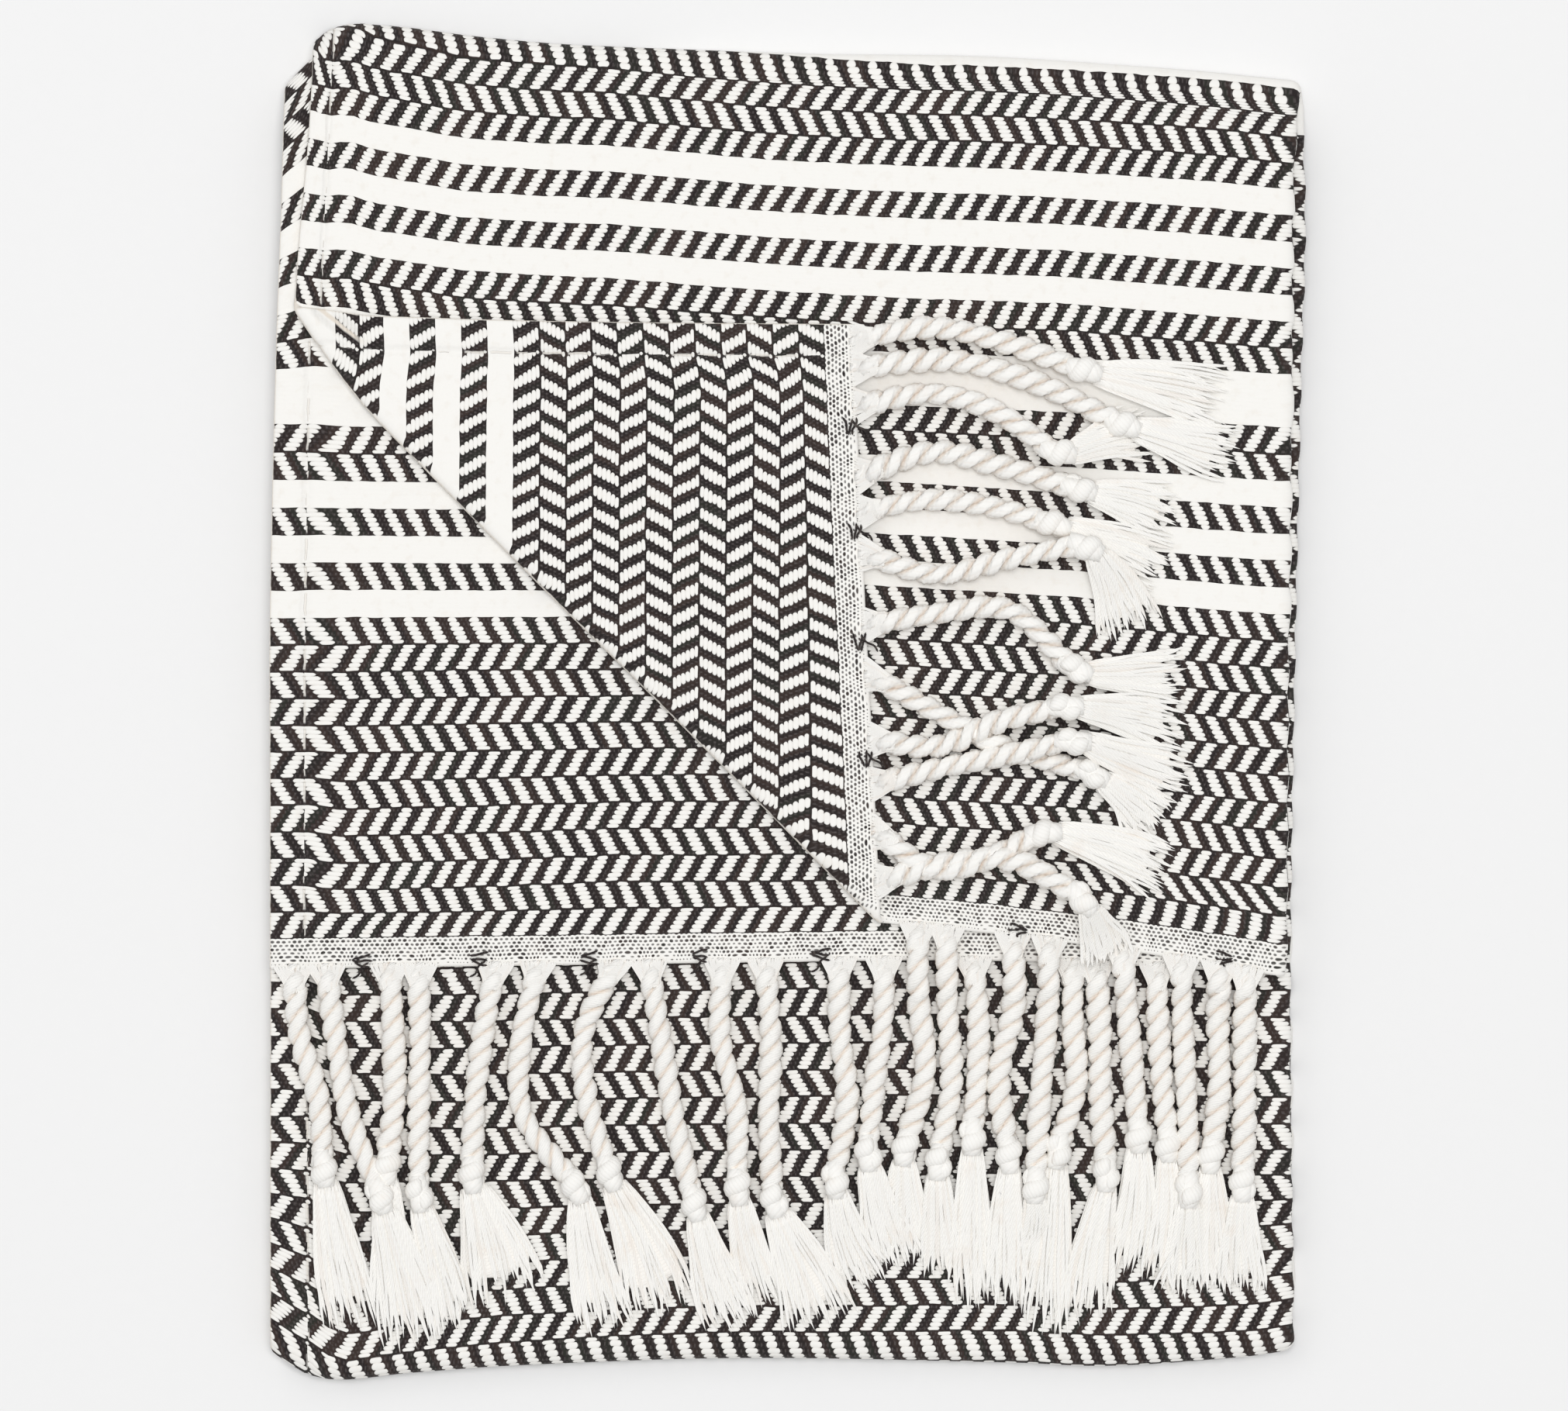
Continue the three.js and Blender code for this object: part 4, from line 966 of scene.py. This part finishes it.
def tassel(mesh, chances, start, ahead, length, spread, rest_at, drop, yarns):
    """A flattened bunch that spreads to its tip, with loose yarns over it and past its end."""
    side = ahead.cross(UP).normalized()
    bend = chances.uniform(-1, 1) * 1.2
    shares = [level / TASSEL_LEVELS for level in range(TASSEL_LEVELS + 1)]
    wide_at = [mix(2.0, spread / 2, float(ease(-0.3, 1.0, t))) for t in shares]
    high_at = [mix(1.75, 0.55, float(ease(0, 0.9, t))) for t in shares]
    middle = []
    for level, t in enumerate(shares):
        spot = start + ahead * length * t + side * bend * math.sin(math.pi * t)
        lift = rest_at(spot) + REST_GAP + high_at[level] + drop * (1 - t) ** 2
        middle.append(Vector((spot.x, spot.y, lift)))
    bunch = [(middle[0], Vector(), Vector())]
    for spot, wide, high, taper in zip(middle, wide_at, high_at, BUNCH_TAPER):
        bunch.append((spot, side * wide * 0.93 * taper, UP * high * taper))
    last = len(BUNCH_TAPER) - 1
    bunch.append((middle[last].lerp(middle[last + 1], 0.5), Vector(), Vector()))
    # chance 0.9 tints the core tan: painted shade showing in the gaps between the yarns over it
    mesh.tube(bunch, CORD_SIDES, length * 0.8, chance=0.9)
    for k in range(yarns):
        lane = (k + chances.uniform(0.1, 0.9)) / yarns * 2 - 1
        own = chances.uniform(0.84, 1.06) * (1 - 0.06 * lane * lane)
        stray = chances.random() < 0.1
        sway = chances.gauss(0, 0.5 if not stray else 2.4)
        phase, wave = chances.uniform(0, 2 * math.pi), chances.uniform(0.2, 0.75)
        above = chances.uniform(-0.5, 0.45)
        line = []
        for level in range(TASSEL_LEVELS + 1):
            t = own * level / TASSEL_LEVELS
            i = min(int(t * TASSEL_LEVELS), TASSEL_LEVELS - 1)
            share = t * TASSEL_LEVELS - i
            centre = middle[i].lerp(middle[i + 1], share)
            wide = mix(wide_at[i], wide_at[i + 1], share)
            high = mix(high_at[i], high_at[i + 1], share)
            across = lane * wide + sway * t * t + wave * math.sin(phase + 7 * t) * t
            crown = math.sqrt(max(1 - lane * lane, 0))
            spot = centre + side * across
            covered = float(ease(0.86, 0.74, t))
            spot.z = mix(centre.z - high + YARN_RADIUS, centre.z + high * crown, covered)
            spot.z += above + 0.3 * (1 - covered)
            line.append(spot)
        yarn(mesh, line, YARN_RADIUS * chances.uniform(0.85, 1.15), chances.random())


def root_fan(mesh, chances, u, face, line):
    """Yarns drawn together from the heading's edge into the start of a cord."""
    _, side, over = axes_at(line, 5)
    for k in range(YARNS_PER_ROOT):
        lane = (k + chances.uniform(0.2, 0.8)) / YARNS_PER_ROOT * 2 - 1
        du = ROOT_REACH * lane
        start = place_one(u + du, 1.3, face * 0.75)
        edge = place_one(u + du * 0.93, 0.1, face * 0.75)
        ends = [start, edge]
        turned = (edge - line[1]).dot(side)
        toward = 1 if turned * lane > 0 else -1
        for i, wide, high in ((4, 2.2, 1.9), (6, 1.7, 2.1)):
            crown = math.sqrt(max(1 - lane * lane, 0))
            ends.append(line[i] + side * toward * lane * wide + over * (high * crown - 0.1))
        yarn(mesh, smooth_line(ends, RING_EVERY), ROOT_YARN_RADIUS, chances.random())


def top_of(level):
    return PLY + level * STEP


REST_OF = {
    "corner": lambda y: top_of(5),
    "upper": lambda y: mix(top_of(4), top_of(3), float(ease(-59, -66, y))),
    "under": lambda y: top_of(3),
}


def near_strand(cords, tassels, chances, strand, kind):
    along, bow_a, bow_b, knot_x, knot_y, tip_x, tip_y, spread, lift = strand
    u = WIDTH - along if kind == "under" else along
    edge = place_one(u, 0)
    inside = place_one(u, 1.2)
    knot_at = Vector((knot_x - CENTRE_X, knot_y - CENTRE_Y, 0))
    tip = Vector((tip_x - CENTRE_X, tip_y - CENTRE_Y, 0))
    flat_edge = Vector((edge.x, edge.y, 0))
    way = knot_at - flat_edge
    left = Vector((-way.y, way.x, 0)).normalized()
    bends = [flat_edge + way / 3 + left * bow_a, flat_edge + way * 2 / 3 + left * bow_b]
    line = smooth_line([flat_edge, *bends, knot_at], RING_EVERY)
    length = len(line) - 1

    def rest_at(spot):
        return float(swell(spot.x, spot.y, REST_OF[kind](spot.y)))

    for i, spot in enumerate(line):
        share = i / length
        high = rest_at(spot) + REST_GAP + CORD_RADIUS + lift * float(ease(0.3, 1, share))
        spot.z = mix(edge.z, high, float(ease(0, 4, i * RING_EVERY)))
    line.insert(0, inside)
    hand = 1 if kind == "corner" else -1
    twisted_cord(cords, line, hand, chances.uniform(0, math.pi), chances.uniform(1.0, 1.13))

    outward = (tip - knot_at).normalized()
    ahead, _, _ = axes_at(line, len(line) - 1)
    through = (ahead + outward).normalized()
    through.z = 0
    through.normalize()
    centre = line[-1] + through * 1.2
    centre.z = rest_at(centre) + REST_GAP + KNOT_RADIUS + lift
    knot(cords, centre, through, hand, chances.random())
    root_fan(tassels, chances, u, 1 if kind == "upper" else -1, line)

    start = centre + through * 2.6
    span = Vector((tip.x - start.x, tip.y - start.y, 0))
    tassel(tassels, chances, start, span.normalized(), span.length * 1.02, spread * 1.3,
           rest_at, lift + 0.4, YARNS_PER_TASSEL)


FRAYED_AT = (
    (-1, (WIDTH - 19.2, WIDTH - 45, WIDTH - 69.3, WIDTH - 93.7, WIDTH - 120.4)),
    (1, (166.4, 213)),
    (-1, (22.5, 46, 71, 98)),
)


def frayed_threads():
    """Charcoal weft ends left loose between the strands, at places along the headings."""
    threads = FringeMesh()
    chances = random.Random(23)
    for face, places in FRAYED_AT:
        for u in places:
            for along, slant in ((1.5, 0.3), (2.6, -0.5), (0.6, 0.8)):
                reach = chances.uniform(1.6, 2.4)
                points = []
                for k in (-1, -0.3, 0.4, 1):
                    v = along + slant * k + chances.uniform(-0.3, 0.3)
                    points.append(place_one(u + reach * k, max(v, 0.2), face))
                yarn(threads, smooth_line(points, 0.5), 0.3)
            loose = [place_one(u - 1.5, 1.2, face), place_one(u, 0.2, face)]
            away = (loose[1] - place_one(u, 3, face)).normalized()
            beside = away.cross(UP)
            loose.append(loose[1] + away * 1.8 + beside * 0.8)
            loose.append(loose[1] + away * 2.6 + beside * 2.2)
            yarn(threads, smooth_line(loose, 0.5), 0.28)
    return threads.done("frayed_threads", charcoal_thread_material(), smooth=False)


def near_fringe():
    cords, tassels = FringeMesh(), FringeMesh()
    chances = random.Random(11)
    for kind, strands in (
        ("under", UNDER_STRANDS),
        ("upper", UPPER_STRANDS),
        ("corner", CORNER_STRANDS),
    ):
        for strand in strands:
            near_strand(cords, tassels, chances, strand, kind)
    cord_piece = cords.done("near_cords", fringe_material("twisted_cotton_cord", 0.9))
    loose_yarn = fringe_material("loose_cotton_yarn", 1.6)
    tassel_piece = tassels.done("near_tassels", loose_yarn, smooth=False)
    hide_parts("fringe_near")
    return [cord_piece, tassel_piece]


def far_fringe():
    mesh = FringeMesh()
    chances = random.Random(5)
    spacing = UNDER_WIDTH / (FAR_STRANDS_PER_PLY + 0.5)
    for k in range(FAR_STRANDS_PER_PLY):
        for u in ((k + 0.5) * spacing, WIDTH - (k + 1) * spacing):
            edge = place_one(u, LENGTH)
            line = [place_one(u, LENGTH - 1.2)]
            edge.z = line[0].z = max(edge.z, 1.6)
            count = round(FAR_CORD_LENGTH / 1.6)
            for i in range(count + 1):
                y = edge.y + FAR_CORD_LENGTH * i / count
                z = mix(edge.z, 2.1, float(ease(0, 4, y - edge.y)))
                line.append(Vector((edge.x, y, z)))
            twisted_cord(mesh, line, 1, chances.uniform(0, math.pi), stout=0.8)
            rest_length = FAR_STRAND_LENGTH - FAR_CORD_LENGTH
            tassel(mesh, chances, line[-1], Vector((0, 1, 0)), rest_length, 7,
                   lambda spot: 0.3, 0, 14)
    piece = mesh.done("far_cords", fringe_material("hidden_cotton_cord", 0.9))
    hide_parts("fringe_far")
    return piece


# ---- Table, light and camera ----
VIEW_CENTRE = (-0.67, -0.85)
VIEW_WIDTH = 343.74
LENS = 200
SENSOR = 36
FOCUS_HEIGHT = 11


def table_top():
    bm = bmesh.new()
    bmesh.ops.create_grid(bm, x_segments=1, y_segments=1, size=3.0)
    mesh = bpy.data.meshes.new("table_top")
    bm.to_mesh(mesh)
    bm.free()
    r = Recipe("pale_table")
    spots = r.add("ShaderNodeTexCoord").outputs["Object"]
    grain = r.cloudy(spots, 300)
    colour = r.tint((0.92, 0.92, 0.92, 1), (0.91, 0.91, 0.91, 1), grain)
    mesh.materials.append(r.cloth_surface(colour, r.times(grain, 0.02), 0.9, 0.0))
    table = bpy.data.objects.new("table_top", mesh)
    bpy.context.scene.collection.objects.link(table)


def studio_light():
    world = bpy.data.worlds.new("soft_studio")
    world.use_nodes = True
    world.node_tree.nodes["Background"].inputs["Color"].default_value = (1.0, 1.0, 1.0, 1)
    world.node_tree.nodes["Background"].inputs["Strength"].default_value = 0.5
    bpy.context.scene.world = world
    for name, spot, size, power in (
        ("overhead_light", (0.1, 0.15, 2.4), 1.0, 26),
        ("window_light", (-0.9, 1.0, 1.6), 1.4, 4),
    ):
        lamp = bpy.data.lights.new(name, "AREA")
        lamp.size = size
        lamp.energy = power
        light = bpy.data.objects.new(name, lamp)
        light.location = spot
        light.rotation_euler = (-Vector(spot)).to_track_quat("-Z", "Y").to_euler()
        bpy.context.scene.collection.objects.link(light)


def camera_above():
    lens = bpy.data.cameras.new("camera_above")
    lens.lens = LENS
    lens.sensor_width = SENSOR
    lens.clip_end = 20
    camera = bpy.data.objects.new("camera_above", lens)
    distance = VIEW_WIDTH * LENS / SENSOR
    camera.location = Vector((*VIEW_CENTRE, FOCUS_HEIGHT + distance)) * MM
    bpy.context.scene.collection.objects.link(camera)
    bpy.context.scene.camera = camera


# ---- The finished scene ----
camera_above()
table_top()
studio_light()
bpy.context.scene.view_settings.view_transform = "Standard"

cloth = towel_cloth()
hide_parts("cloth")
near_pieces = [*near_fringe(), frayed_threads()]
far_piece = far_fringe()
